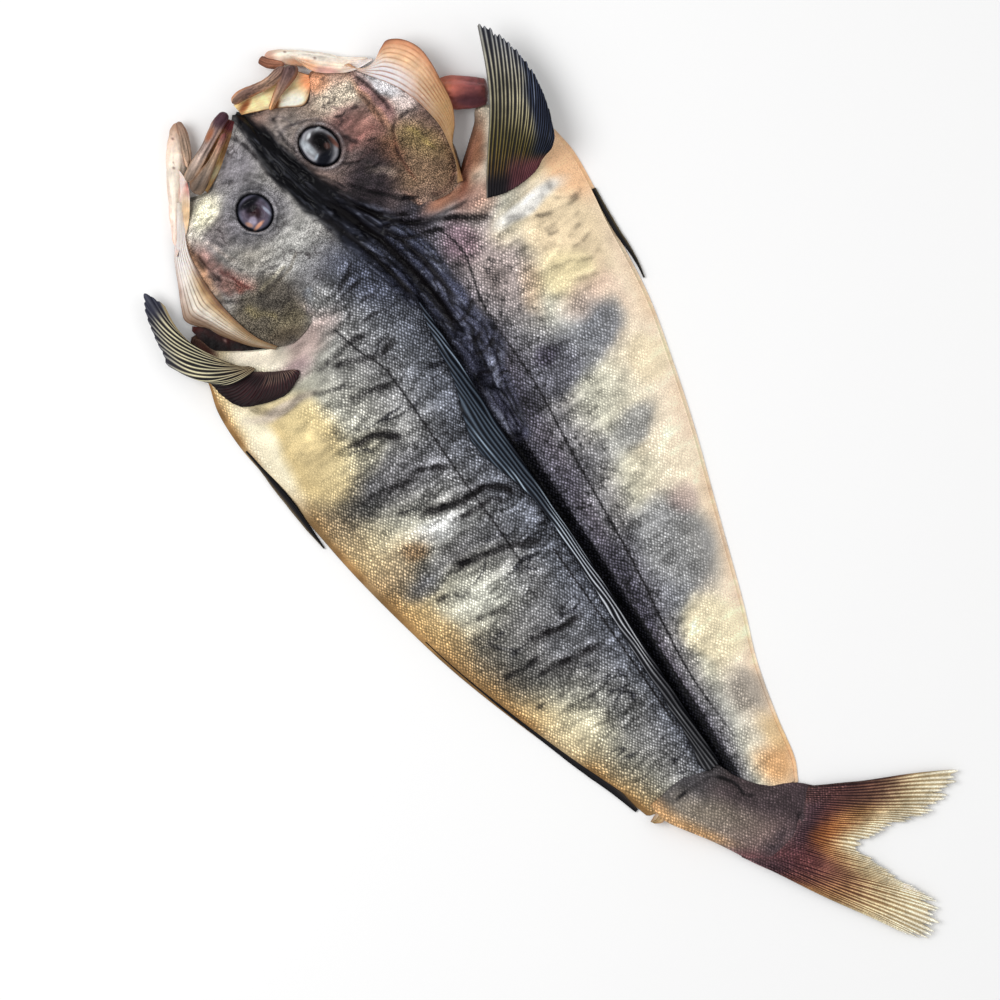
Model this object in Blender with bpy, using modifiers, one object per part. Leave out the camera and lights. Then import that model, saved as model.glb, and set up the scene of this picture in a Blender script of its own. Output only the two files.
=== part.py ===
# A fish opened along the belly, spread flat and half dried, lying skin side up.
# The back runs along Y with the head towards +Y, and the right flank is at +X.
# The origin is on the resting plane, under the back groove at the middle of the body.

import math

import bmesh
import bpy
import numpy as np
from mathutils import Matrix, Vector
from mathutils.bvhtree import BVHTree

# Driving dimensions, in metres.
TOTAL_LENGTH = 0.446  # tip of the lower jaw to the tip of the tail's lower lobe
FLANK_HEIGHT = 0.0175  # crest of a flank beside the back, at the shoulder
HEAD_HEIGHT = 0.0215  # crest of a half head, at the eye
SKIN_THICKNESS = 0.0030  # skin with its dark under-layer
RIM_THICKNESS = 0.0014  # skin at the belly edge
FIN_THICKNESS = 0.0011
FOLDED_FIN_THICKNESS = 0.0009  # back fin and the fins beside the belly
EDGE_FIN_THICKNESS = 0.0007  # the low fin under the left belly edge
MEMBRANE_THICKNESS = 0.0012
TOUCH_GAP = 0.0004  # room between two pieces that touch
MOUTH_SKIN_HEIGHT = 0.0052  # top of the skin that the upper jaw bones lie on
MOUTH_SKIN_THICKNESS = 0.0009
SOCKET_GAP = 0.0007  # room between an eye and its socket
EYE_SINK = 0.0020  # an eye's centre lies this far below the head's crest
RESTING_ROOM = 0.0002  # the tail root and the lower jaws rest this far above the plane
FAN_SETBACK = 1.8  # the gill fans start this far outside the cheek's wall, in drawn mm
JAW_BONE_RADIUS = 3.0  # thickest half-width of the upper jaw bones, in drawn mm

# The outlines below are drawn in millimetres on a fish of this length.
DRAWN_LENGTH = 446.0
UNIT = TOTAL_LENGTH / DRAWN_LENGTH

# Trunk outlines, from the collar to the tail root.
BACK_LINE = [(3, 112), (4, 95), (5, 75), (4, 40), (3, 0), (2, -50), (0, -100), (-1, -135), (-1, -152)]
LEFT_EDGE = [(-84, 98), (-86, 84), (-84, 58), (-81, 30), (-76, 0), (-68.5, -42), (-63, -68),
             (-52, -98), (-42, -128), (-35, -147)]
RIGHT_EDGE = [(88, 101), (89, 86), (85.5, 62), (83.5, 35), (75, 0), (63, -40), (49, -80),
              (35, -122), (28, -142), (25, -156), (20, -169)]
FRONT_LEFT = [(3, 112), (-20, 103), (-40, 97), (-50, 95.5), (-60, 101), (-69, 109), (-77, 113), (-84, 98)]
FRONT_RIGHT = [(3, 112), (25, 108), (38, 105), (48, 104.5), (57, 109), (65, 117), (71, 122), (79, 114),
               (88, 101)]
REAR_LEFT = [(-1, -152), (-12, -151), (-24, -150), (-35, -147)]
REAR_RIGHT = [(-1, -152), (6, -160), (12, -165), (20, -169)]

# Head outlines: the middle line, and for each half its mouth edge, cheek edge and gill-cover margin.
HEAD_LINE = [(-13, 177.5), (-12, 168), (-10, 155), (-7, 140), (-3, 125), (3, 106)]
LEFT_MOUTH_EDGE = [(-13, 177.5), (-19, 171.5), (-26, 166), (-33, 161), (-40, 157.3), (-49.5, 160)]
LEFT_CHEEK_EDGE = [(-49.5, 160), (-56, 151), (-60.5, 140), (-61.5, 124), (-60, 110), (-57, 99), (-52, 91)]
LEFT_GILL_EDGE = [(3, 106), (-5, 103), (-15, 99.5), (-25, 98), (-31, 96), (-38, 91), (-45, 89.3), (-52, 91)]
RIGHT_MOUTH_EDGE = [(-13, 177.5), (-8, 173.5), (0, 171), (12, 164.5), (17, 168), (22, 173.5), (34, 169)]
RIGHT_CHEEK_EDGE = [(34, 169), (38.5, 162.5), (48, 147), (52, 130), (51, 119), (48.5, 110.5), (45, 104)]
RIGHT_GILL_EDGE = [(3, 106), (10, 103), (18, 104.5), (25, 106.5), (32, 104), (39, 102.5), (45, 104)]

# The gill-cover fans reach from each cheek edge to these free edges.
LEFT_FAN_EDGE = [(-53.5, 162), (-60, 152), (-66, 144), (-71, 134), (-75, 126), (-76.5, 120.5), (-72, 114),
                 (-67.5, 107), (-61, 98), (-53, 90.5)]
RIGHT_FAN_EDGE = [(36, 168.5), (38.5, 164), (44, 163), (50, 166), (54, 167), (59, 163.5), (62.5, 157),
                  (63, 149), (62, 140), (60.5, 131), (57, 124), (52, 118), (49.5, 111), (47, 103.5)]

# Tail root and tail fin.
ROOT_FRONT = [(-33, -145), (-17, -143), (-2, -145)]
ROOT_LEFT = [(-33, -145), (-31, -153), (-26, -161), (-21, -170), (-17, -179), (-13, -188), (-9, -196)]
ROOT_RIGHT = [(-2, -145), (-1, -154), (1, -161), (6, -165.5), (13, -168), (20, -171), (26, -176)]
ROOT_REAR = [(-9, -196), (0, -202), (10, -202), (18, -196), (24, -187), (26, -176)]
TAIL_TIPS = [(24, -246), (36, -254.5), (42, -245), (36, -232), (31, -219), (28, -208), (38, -207),
             (50, -209.5), (64, -211), (77, -206)]

# Fins: the line that the rays leave from, and the line that they end on.
RIGHT_PECTORAL_BASE = [(50.5, 92), (58, 89.5), (66, 89), (73, 90), (78, 92)]
RIGHT_PECTORAL_TIPS = [(87, 152), (91, 145), (94, 134), (94.5, 124), (93, 113), (90, 103), (86, 100.5)]
LEFT_PECTORAL_BASE = [(-66, 91), (-62, 87), (-57, 81), (-53, 76)]
LEFT_PECTORAL_TIPS = [(-80, 134), (-83, 138.5), (-86, 137), (-89, 128), (-93, 114), (-92.5, 107),
                      (-84, 98), (-81, 90), (-79.5, 81), (-72, 75.5), (-62, 72.5)]
DORSAL_SPAN = (0.15, 0.975)  # shares of the back line between which the back fin shows
DORSAL_WIDTHS = [(74, 1.5), (66, 3.5), (50, 5.5), (40, 6.5), (30, 9), (24, 11), (16, 13), (5, 12), (-5, 8.5),
                 (-15, 5.5), (-45, 5), (-80, 6), (-120, 6), (-140, 6.5), (-148, 3)]
LEFT_PELVIC_LINE = [(-86.2, 64), (-85.4, 55), (-84.6, 45), (-83.8, 36), (-83.2, 25), (-82.3, 14)]
RIGHT_PELVIC_LINE = [(88.8, 72), (87.6, 61), (87.0, 52), (86.9, 44), (86.4, 37), (85.3, 31)]
ANAL_FIN_REACH = [(-42, 0.8), (-70, 1.2), (-100, 2.0), (-120, 3.6), (-140, 2.6), (-144, 1.2)]

# Jaws and throat: centre lines with a half-width at each point.
LEFT_UPPER_JAW = [(-15.5, 179.5, 2.0), (-21, 177.8, 2.7), (-30, 172.8, 2.4), (-38, 169, 2.5), (-44.2, 166, 1.8)]
LEFT_MAXILLA = [(-22, 172.2, 1.2), (-30, 168.4, 1.6), (-37, 164.4, 2.6), (-42, 162, 3.0), (-44.8, 161.6, 2.0)]
RIGHT_UPPER_JAW = [(-11.5, 181.6, 1.4), (-6, 181.8, 2.0), (4, 180.2, 1.8), (10.5, 180.7, 2.3), (13.8, 182, 1.4)]
RIGHT_MAXILLA = [(3, 172.7, 0.9), (8, 175.2, 1.6), (12, 177.6, 2.6), (14.8, 179.4, 3.0), (15.6, 180.6, 2.0)]
LEFT_LOWER_JAW = [(-34.5, 188.3, 2.2), (-37.3, 183.5, 3.3), (-42, 176.5, 4.2), (-48, 169.5, 3.6), (-52.4, 163.8, 2.4)]
RIGHT_LOWER_JAW = [(9.3, 189.9, 2.4), (14.2, 187, 2.9), (21.6, 181.2, 3.0), (27.3, 176.6, 3.2), (33.2, 172.9, 2.0)]
THROAT_LINE = [(58.5, 139, 4.8), (63, 136, 6.0), (70, 131, 5.6), (75.5, 127.5, 4.6)]

EYE_CENTRE = {"left": (-30, 139.4), "right": (7.4, 146.4)}
EYE_RADII = {"left": (0.0067, 0.0074, 0.0045), "right": (0.0072, 0.0088, 0.0045)}
EYE_TURN = {"left": 0.0, "right": math.radians(18)}

HALF_COLUMNS = [0, 0.035, 0.075, 0.14, 0.25, 0.38, 0.52, 0.66, 0.8, 0.92, 1]
TRUNK_ROWS = [0, 0.015, 0.033, 0.06] + [0.06 + 0.91 * k / 24 for k in range(1, 25)] + [0.985, 1]
COLLAR_END, TAIL_START = 0.05, 0.975  # shares of the trunk between which there is meat under the skin
FLESH_SPAN = (0.066, 0.964)
FLESH_RIM = 0.00045  # height of the meat at the belly edge
FLESH_SETBACK = 1.1  # the meat's belly edge lies this far inside the skin's, in drawn mm
HEAD_ROWS = [k / 14 for k in range(15)]
HEAD_COLUMNS = [0, 0.07, 0.16, 0.28, 0.4, 0.53, 0.66, 0.79, 0.91, 1]
ROOT_ROWS = [k / 9 for k in range(10)]
ROOT_COLUMNS = [0, 0.05, 0.14, 0.28, 0.43, 0.57, 0.72, 0.86, 0.95, 1]

COLOURS = {
    "skin": (0.16, 0.155, 0.15, 0.5),
    "flesh": (0.80, 0.66, 0.50, 0.55),
    "bone": (0.20, 0.13, 0.10, 0.45),
    "membrane": (0.72, 0.58, 0.44, 0.5),
    "fin": (0.045, 0.05, 0.06, 0.4),
    "tail": (0.34, 0.24, 0.16, 0.5),
    "eye": (0.03, 0.03, 0.04, 0.15),
    "meat": (0.30, 0.09, 0.06, 0.4),
}


def smooth_line(points, shares):
    """Points on a smooth line through the given ones, at these shares of its length."""
    given = np.array(points, float)
    padded = np.vstack([2 * given[0] - given[1], given, 2 * given[-1] - given[-2]])
    t = np.linspace(0, 1, 16, endpoint=False)[:, None]
    runs = []
    for k in range(len(given) - 1):
        a, b, c, d = padded[k : k + 4]
        runs.append(0.5 * (2 * b + (c - a) * t + (2 * a - 5 * b + 4 * c - d) * t**2
                           + (3 * b - a - 3 * c + d) * t**3))
    dense = np.vstack([*runs, given[-1:]])
    steps = np.linalg.norm(np.diff(dense[:, :2], axis=0), axis=1)
    length = np.concatenate([[0], np.cumsum(steps)])
    wanted = np.array(shares) * length[-1]
    return np.stack([np.interp(wanted, length, column) for column in dense.T], axis=1)


def patch(inner, outer, start, end, rows, columns):
    """A grid of plan points that fills the space inside four edges: inner and outer run along the rows."""
    a, b = smooth_line(inner, rows), smooth_line(outer, rows)
    c, d = smooth_line(start, columns), smooth_line(end, columns)
    u, w = np.array(rows)[:, None, None], np.array(columns)[None, :, None]
    ruled = (1 - w) * a[:, None] + w * b[:, None] + (1 - u) * c[None] + u * d[None]
    corners = (1 - u) * ((1 - w) * c[0] + w * c[-1]) + u * ((1 - w) * d[0] + w * d[-1])
    return ruled - corners


def along(pairs, values):
    """Reads a few (place, size) pairs as a smooth rule."""
    places, sizes = np.array(pairs, float).T
    order = np.argsort(places)
    return np.interp(values, places[order], sizes[order])


def eased(x):
    x = np.clip(x, 0, 1)
    return x * x * (3 - 2 * x)


def lifted(plan, height):
    """Plan points in drawn millimetres and heights in metres, as points in metres."""
    return np.dstack([plan * UNIT, height])


def material(kind):
    made = bpy.data.materials.get(kind) or bpy.data.materials.new(kind)
    made.use_nodes = True
    shader = made.node_tree.nodes["Principled BSDF"]
    red, green, blue, roughness = COLOURS[kind]
    shader.inputs["Base Color"].default_value = (red, green, blue, 1)
    shader.inputs["Roughness"].default_value = roughness
    shader.inputs["Metallic"].default_value = 0
    return made


def add_object(name, mesh, kind, collection):
    mesh.materials.clear()
    mesh.materials.append(material(kind))
    mesh.shade_smooth()
    mesh.set_sharp_from_angle(angle=math.radians(50))
    made = bpy.data.objects.new(name, mesh)
    collection.objects.link(made)
    return made


def grid_triangles(rows, columns, start=0):
    """Two triangles for each cell of a grid, all split the same way."""
    found = []
    for i in range(rows - 1):
        for j in range(columns - 1):
            a = start + i * columns + j
            b, c, d = a + 1, a + columns + 1, a + columns
            found += [(a, b, c), (a, c, d)]
    return found


def rim_of(rows, columns):
    """The grid's border, once round."""
    top = list(range(columns))
    right = [i * columns + columns - 1 for i in range(1, rows)]
    bottom = [(rows - 1) * columns + j for j in range(columns - 2, -1, -1)]
    left = [i * columns for i in range(rows - 2, 0, -1)]
    return top + right + bottom + left


def slab(name, upper, lower, kind, collection):
    """A closed loft between an upper and a lower grid with the same border."""
    rows, columns, _ = upper.shape
    count = rows * columns
    points = np.vstack([upper.reshape(-1, 3), lower.reshape(-1, 3)])
    faces = grid_triangles(rows, columns) + [t[::-1] for t in grid_triangles(rows, columns, count)]
    rim = rim_of(rows, columns)
    for a, b in zip(rim, rim[1:] + rim[:1], strict=True):
        faces += [(b, a, a + count), (b, a + count, b + count)]
    mesh = bpy.data.meshes.new(name)
    mesh.from_pydata(points.tolist(), [], faces)
    shape = bmesh.new()
    shape.from_mesh(mesh)
    bmesh.ops.recalc_face_normals(shape, faces=shape.faces)
    shape.to_mesh(mesh)
    shape.free()
    return add_object(name, mesh, kind, collection)


def sheet(name, grid, thickness, kind, collection):
    """A thin wavy piece: an open grid with Solidify, both faces split alike."""
    rows, columns, _ = grid.shape
    mesh = bpy.data.meshes.new(name)
    mesh.from_pydata(grid.reshape(-1, 3).tolist(), [], grid_triangles(rows, columns))
    if sum(p.normal.z for p in mesh.polygons) < 0:
        mesh.flip_normals()
    made = add_object(name, mesh, kind, collection)
    shell = made.modifiers.new("thickness", "SOLIDIFY")
    shell.thickness = thickness
    shell.offset = -1
    return made


def rod(name, line, height, flatten, kind, collection):
    """A tapering round bar laid along a line of (x, y, half-width), at a height, flattened in Z."""
    path = smooth_line(line, [k / 11 for k in range(12)])
    curve = bpy.data.curves.new(name, "CURVE")
    curve.dimensions = "3D"
    curve.bevel_depth = UNIT
    curve.bevel_resolution = 2
    curve.use_fill_caps = True
    spline = curve.splines.new("POLY")
    spline.points.add(len(path) - 1)
    for point, (x, y, half_width) in zip(spline.points, path, strict=True):
        point.co = (x * UNIT, y * UNIT, 0, 1)
        point.radius = half_width
    guide = bpy.data.objects.new(name + "_guide", curve)
    collection.objects.link(guide)
    graph = bpy.context.evaluated_depsgraph_get()
    mesh = bpy.data.meshes.new_from_object(guide.evaluated_get(graph))
    bpy.data.objects.remove(guide)
    shape = bmesh.new()
    shape.from_mesh(mesh)
    bmesh.ops.remove_doubles(shape, verts=shape.verts, dist=1e-5)
    bmesh.ops.scale(shape, verts=shape.verts, vec=(1, 1, flatten))
    bmesh.ops.translate(shape, verts=shape.verts, vec=(0, 0, height))
    bmesh.ops.recalc_face_normals(shape, faces=shape.faces)
    shape.to_mesh(mesh)
    shape.free()
    return add_object(name, mesh, kind, collection)


def ball(name, centre, radii, turn, kind, collection):
    mesh = bpy.data.meshes.new(name)
    shape = bmesh.new()
    bmesh.ops.create_uvsphere(shape, u_segments=16, v_segments=8, radius=1)
    place = Matrix.Translation(centre) @ Matrix.Rotation(turn, 4, "Z") @ Matrix.Diagonal((*radii, 1))
    bmesh.ops.transform(shape, matrix=place, verts=shape.verts)
    shape.to_mesh(mesh)
    shape.free()
    return add_object(name, mesh, kind, collection)


def combined(target, operation, others, solver="EXACT"):
    """Joins or cuts target with each object of a collection, and takes those objects away."""
    for other in list(others.objects):
        step = target.modifiers.new(operation, "BOOLEAN")
        step.operation = operation
        step.solver = solver
        step.object = other
        graph = bpy.context.evaluated_depsgraph_get()
        mesh = bpy.data.meshes.new_from_object(target.evaluated_get(graph))
        target.modifiers.clear()
        target.data = mesh
        bpy.data.objects.remove(other)


# ---- trunk ----------------------------------------------------------------------------------------


def trunk_plan(rows):
    """Plan grid of both flanks, left edge to right edge."""
    left = patch(BACK_LINE, LEFT_EDGE, FRONT_LEFT, REAR_LEFT, rows, HALF_COLUMNS)
    right = patch(BACK_LINE, RIGHT_EDGE, FRONT_RIGHT, REAR_RIGHT, rows, HALF_COLUMNS)
    return np.concatenate([left[:, :0:-1], right], axis=1)


def trunk_spread():
    """Signed share of the way from the back line (0) to the left (-1) or right (1) belly edge."""
    half = np.array(HALF_COLUMNS)
    return np.concatenate([-half[:0:-1], half])


def trunk_top(rows):
    """Height of the skin: flanks crowned beside a deep back groove, a low rim and a raised collar."""
    u = np.array(rows)[:, None]
    spread = trunk_spread()[None, :]
    w = np.abs(spread)
    crest = FLANK_HEIGHT * along([(0, 0.84), (0.1, 0.98), (0.25, 1), (0.5, 0.9), (0.75, 0.68), (0.9, 0.52),
                                  (1, 0.42)], u)
    across = along([(0, 0.50), (0.035, 0.54), (0.075, 0.80), (0.13, 0.92), (0.21, 0.98), (0.31, 1), (0.42, 0.97),
                    (0.54, 0.89), (0.66, 0.77), (0.77, 0.62), (0.87, 0.44), (0.95, 0.27), (1, 0.15)], w)
    groove = along([(0, 0.96), (0.035, 0.97), (0.075, 1), (1, 1)], w)
    shown = eased(u / 0.12) * eased((1.02 - u) / 0.06)
    filled = across / groove
    shallow = np.where(w < 0.13, along([(0, 0.93), (0.13, 0.92)], w), filled)
    height = crest * (shown * across + (1 - shown) * shallow)
    # Soft transverse folds in the left flank.
    folds = 0.0007 * np.sin(2 * math.pi * 11 * u + 2.5 * w) * eased(w / 0.15) * eased((0.9 - w) / 0.3)
    height = height + np.where(spread < 0, folds, 0.4 * folds)
    rise = 0.32 + 0.68 * eased(u / 0.045)
    return height * rise


def trunk_under(top):
    """Underside of the skin layer, where there is meat below it."""
    w = np.abs(trunk_spread())[None, :]
    depth = SKIN_THICKNESS + (RIM_THICKNESS - SKIN_THICKNESS) * eased((w - 0.8) / 0.2)
    return np.maximum(top - depth, 0.0009)


def make_trunk(collection):
    plan, top = trunk_plan(TRUNK_ROWS), trunk_top(TRUNK_ROWS)
    u = np.array(TRUNK_ROWS)[:, None]
    # The collar bone in front, and the tail root behind, reach down to the resting plane.
    meat_below = (u > COLLAR_END) & (u < TAIL_START)
    under = np.where(meat_below, trunk_under(top), 0.0)
    return slab("body", lifted(plan, top), lifted(plan, under), "skin", collection)


def make_flesh(collection):
    """The cut side: the meat under the skin, flat where it rests."""
    first, last = FLESH_SPAN
    rows = [first] + [r for r in TRUNK_ROWS if first < r < last] + [last]
    plan, roof = trunk_plan(TRUNK_ROWS), trunk_under(trunk_top(TRUNK_ROWS)) - TOUCH_GAP
    roof[:, [0, -1]] = FLESH_RIM
    plan[:, 0, 0] += FLESH_SETBACK
    plan[:, -1, 0] -= FLESH_SETBACK
    grid = lifted(plan, roof)
    index = np.interp(rows, TRUNK_ROWS, range(len(TRUNK_ROWS)))
    low = np.minimum(index.astype(int), len(TRUNK_ROWS) - 2)
    part = (index - low)[:, None, None]
    upper = grid[low] * (1 - part) + grid[low + 1] * part
    lower = upper * np.array((1, 1, 0))
    return slab("flesh", upper, lower, "flesh", collection)


# ---- head -----------------------------------------------------------------------------------------


def bump(plan, centre, reach, height):
    distance = np.linalg.norm((plan - np.array(centre)) / reach, axis=-1)
    return height * np.exp(-(distance**2))


def head_top(plan, side):
    """Height of a half head: a low middle strip, a brow and cheek dome, and the crescent before the gill cover."""
    u, w = np.array(HEAD_ROWS)[:, None], np.array(HEAD_COLUMNS)[None, :]
    length = along([(0, 0.34), (0.1, 0.60), (0.22, 0.84), (0.4, 0.98), (0.65, 0.96), (0.85, 0.88), (1, 0.76)], u)
    across = along([(0, 0.80), (0.13, 0.80), (0.31, 0.97), (0.5, 0.95), (0.7, 0.80), (0.85, 0.64), (1, 0.47)], w)
    height = HEAD_HEIGHT * length * across
    crescent = (-52, 118) if side == "left" else (36, 137)
    height = height + bump(plan, EYE_CENTRE[side], (13, 13), 0.0020)
    return height - bump(plan, crescent, (7, 10), 0.0016)


def half_head(side):
    """Plan and height of one half of the head, from the middle line out to the cheek."""
    if side == "left":
        edges = (HEAD_LINE, LEFT_CHEEK_EDGE, LEFT_MOUTH_EDGE, LEFT_GILL_EDGE)
    else:
        edges = (HEAD_LINE, RIGHT_CHEEK_EDGE, RIGHT_MOUTH_EDGE, RIGHT_GILL_EDGE)
    plan = patch(*edges, HEAD_ROWS, HEAD_COLUMNS)
    return plan, head_top(plan, side)


def make_head(collection):
    """Both halves of the head as one shell, joined along the dark middle strip."""
    left, right = half_head("left"), half_head("right")
    plan, top = (np.concatenate([a[:, :0:-1], b], axis=1) for a, b in zip(left, right, strict=True))
    return slab("head", lifted(plan, top), lifted(plan, np.zeros_like(top)), "skin", collection)


def make_tail_root(collection):
    """The unsplit tail root, an oval bar that flattens into the tail fin."""
    plan = patch(ROOT_LEFT, ROOT_RIGHT, ROOT_FRONT, ROOT_REAR, ROOT_ROWS, ROOT_COLUMNS)
    u, w = np.array(ROOT_ROWS)[:, None], np.array(ROOT_COLUMNS)[None, :]
    half = 0.001 * along([(0, 4.4), (0.25, 5.4), (0.5, 4.6), (0.75, 2.9), (1, 1.0)], u)
    oval = np.sqrt(np.clip(1 - (2 * w - 1) ** 2, 0.02, 1))
    middle = RESTING_ROOM + half
    return slab("tail_root", lifted(plan, middle + half * oval), lifted(plan, middle - half * oval),
                "skin", collection)


# ---- thin pieces ----------------------------------------------------------------------------------


def surface_of(made):
    return BVHTree.FromObject(made, bpy.context.evaluated_depsgraph_get())


def resting_heights(surface, plan, reach=0.0022):
    """Height of the highest skin near each plan point, and 0 off the body."""
    rows, columns, _ = plan.shape
    found = np.zeros((rows, columns))
    turns = np.linspace(0, 2 * math.pi, 8, endpoint=False)
    around = [(0, 0)] + [(math.cos(a) * reach, math.sin(a) * reach) for a in turns]
    for i in range(rows):
        for j in range(columns):
            x, y = plan[i, j] * UNIT
            for dx, dy in around:
                hit = surface.ray_cast(Vector((x + dx, y + dy, 0.1)), Vector((0, 0, -1)))[0]
                found[i, j] = max(found[i, j], hit.z if hit else 0)
    return found


def ray_fan(base, tips, rays, steps, bow=0.0):
    """Plan grid of a fin: one column for each ray, from its base to its tip, bowed sideways."""
    shares = [k / (rays - 1) for k in range(rays)]
    start, end = smooth_line(base, shares), smooth_line(tips, shares)
    t = np.linspace(0, 1, steps)[:, None, None]
    plan = (1 - t) * start[None] + t * end[None]
    run = end - start
    side = np.stack([-run[:, 1], run[:, 0]], axis=1) / np.linalg.norm(run, axis=1)[:, None]
    return plan + bow * np.sin(math.pi * t) * side[None]


def make_tail_fin(surface, collection):
    root = [(x + 0.5 * (x - 5) / 16, y - 0.5) for x, y in ROOT_REAR]
    plan = ray_fan(root, TAIL_TIPS, 21, 9)
    t = np.linspace(0, 1, 9)[:, None]
    a = np.linspace(0, 1, 21)[None, :]
    height = 0.0022 + 0.0016 * np.sin(math.pi * t) * np.sin(2 * math.pi * a) ** 2
    height = height + 0.0006 * np.sin(2 * math.pi * 6 * a) * t
    floor = resting_heights(surface, plan)
    near_flap = floor > 0.0006
    height = np.where(near_flap, np.maximum(height, floor + FIN_THICKNESS + TOUCH_GAP), height)
    return sheet("tail_fin", lifted(plan, height), FIN_THICKNESS, "tail", collection)


def make_pectoral(side, surface, collection):
    """The fin behind the gill cover, spread over the flank and past its edge."""
    if side == "left":
        plan = ray_fan(LEFT_PECTORAL_BASE, LEFT_PECTORAL_TIPS, 17, 8, bow=4.5)
        fold = 0.0030 * eased((0.58 - np.linspace(0, 1, 17)) / 0.06)[None, :]
        end_height = 0.007
    else:
        plan = ray_fan(RIGHT_PECTORAL_BASE, RIGHT_PECTORAL_TIPS, 17, 8, bow=-2.5)
        fold = np.zeros((1, 17))
        end_height = 0.016
    t = np.linspace(0, 1, 8)[:, None]
    ride = resting_heights(surface, plan) + FIN_THICKNESS + TOUCH_GAP
    hover = 0.0125 * (1 - t) + end_height * t + 0.0035 * np.sin(math.pi * t)
    height = np.maximum(ride, hover) + fold * np.sin(math.pi * np.clip(t * 1.2, 0, 1))
    return sheet("pectoral_" + side, lifted(plan, height), FIN_THICKNESS, "fin", collection)


def make_dorsal_fin(surface, collection):
    """The back fin, folded down to the left of the groove along the whole back."""
    line = smooth_line(BACK_LINE, np.linspace(*DORSAL_SPAN, 30))
    width = along(DORSAL_WIDTHS, line[:, 1])
    steps = np.linspace(0, 1, 3)
    plan = np.stack([line - np.array((0.6, 0)) - np.outer(width * s, (1, 0)) for s in steps], axis=1)
    height = resting_heights(surface, plan, reach=0.0026) + FOLDED_FIN_THICKNESS + TOUCH_GAP
    return sheet("dorsal_fin", lifted(plan, height), FOLDED_FIN_THICKNESS, "fin", collection)


def make_anal_fin(collection):
    """The fin along the left belly edge, of which only the outer part shows."""
    rows = [0.56 + 0.43 * k / 19 for k in range(20)]
    edge = smooth_line(LEFT_EDGE, rows)
    reach = along(ANAL_FIN_REACH, edge[:, 1])
    plan = np.stack([edge - np.outer(reach * s + 0.5, (1, 0)) for s in (0, 0.5, 1)], axis=1)
    height = np.broadcast_to(np.array((0.0008, 0.0010, 0.0009)), plan.shape[:2])
    return sheet("anal_fin", lifted(plan, height), EDGE_FIN_THICKNESS, "fin", collection)


def make_pelvic(side, collection):
    line, lengths = (LEFT_PELVIC_LINE, 14) if side == "left" else (RIGHT_PELVIC_LINE, 12)
    shares = [k / (lengths - 1) for k in range(lengths)]
    middle = smooth_line(line, shares)
    width = along([(0, 1.0), (0.3, 1.3), (0.7, 1.0), (1, 0.35)], np.array(shares))
    plan = np.stack([middle + np.outer(width * s, (1, 0)) for s in (-1, 0, 1)], axis=1)
    height = 0.0012 + np.array((0, 0.0005, 0))[None, :] + np.zeros((lengths, 1))
    return sheet("pelvic_" + side, lifted(plan, height), FOLDED_FIN_THICKNESS, "fin", collection)


def make_gill_fan(side, surface, collection):
    """The ribbed membrane along the gill cover's outer edge: sloping on the left, flared up on the right."""
    shares = [k / 15 for k in range(16)]
    if side == "left":
        inner, outer = smooth_line(LEFT_CHEEK_EDGE, shares), smooth_line(LEFT_FAN_EDGE, shares)
        rim = along([(0, 5), (0.3, 2.2), (0.6, 2.2), (1, 7)], np.array(shares)) * 0.001
    else:
        inner, outer = smooth_line(RIGHT_CHEEK_EDGE, shares), smooth_line(RIGHT_FAN_EDGE, shares)
        rim = along([(0, 7), (0.15, 9), (0.4, 14), (0.7, 14), (1, 11)], np.array(shares)) * 0.001
    hinge = 0.001 * along([(0, 4.5), (0.15, 8), (0.5, 10.2), (0.8, 9.2), (1, 7)], np.array(shares))
    run = outer - inner
    start = inner + run / np.linalg.norm(run, axis=1)[:, None] * FAN_SETBACK
    t = np.linspace(0, 1, 5)
    plan = np.stack([start + (outer - start) * s for s in t], axis=1)
    hover = hinge[:, None] * (1 - t) + rim[:, None] * t + 0.0016 * np.sin(math.pi * t)
    ride = resting_heights(surface, plan) + MEMBRANE_THICKNESS + TOUCH_GAP
    height = np.maximum(hover, ride)
    return sheet("gill_fan_" + side, lifted(plan, height), MEMBRANE_THICKNESS, "membrane", collection)


def make_mouth_skin(side, collection):
    """The thin skin stretched between the upper jaw bones and the cheek."""
    if side == "left":
        front = [(-16.5, 178), (-24, 175), (-33, 170.5), (-42, 166.5)]
        back = [(-17.5, 173.9), (-25, 167.9), (-33, 162.1), (-41, 158.4)]
    else:
        front = [(-11.5, 181), (-4, 181), (6, 179.5), (14, 179), (19.8, 174.2)]
        back = [(-8.5, 174.7), (0, 172.2), (6.2, 169), (12, 165.8), (16.6, 168.8)]
    shares = [k / 9 for k in range(10)]
    a, b = smooth_line(front, shares), smooth_line(back, shares)
    plan = np.stack([a * (1 - s) + b * s for s in (0, 0.33, 0.67, 1)], axis=1)
    ripple = 0.0004 * np.sin(np.linspace(0, 9, 10))[:, None] + np.zeros((1, 4))
    height = MOUTH_SKIN_HEIGHT - 0.0004 + ripple
    return sheet("mouth_skin_" + side, lifted(plan, height), MOUTH_SKIN_THICKNESS, "membrane", collection)


def make_upper_jaw(side, parts, collection):
    """The two bones of an upper jaw half, lying on the mouth skin."""
    lines = (LEFT_UPPER_JAW, LEFT_MAXILLA) if side == "left" else (RIGHT_UPPER_JAW, RIGHT_MAXILLA)
    height = MOUTH_SKIN_HEIGHT + TOUCH_GAP + JAW_BONE_RADIUS * UNIT
    bar = rod("upper_jaw_" + side, lines[0], height, 1.0, "bone", collection)
    rod("maxilla", lines[1], height, 1.0, "bone", parts)
    combined(bar, "UNION", parts)
    return bar


def make_lower_jaw(side, collection):
    line = LEFT_LOWER_JAW if side == "left" else RIGHT_LOWER_JAW
    thickest = max(half_width for _, _, half_width in line) * UNIT
    return rod("lower_jaw_" + side, line, thickest + RESTING_ROOM, 1.0, "membrane", collection)


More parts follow.
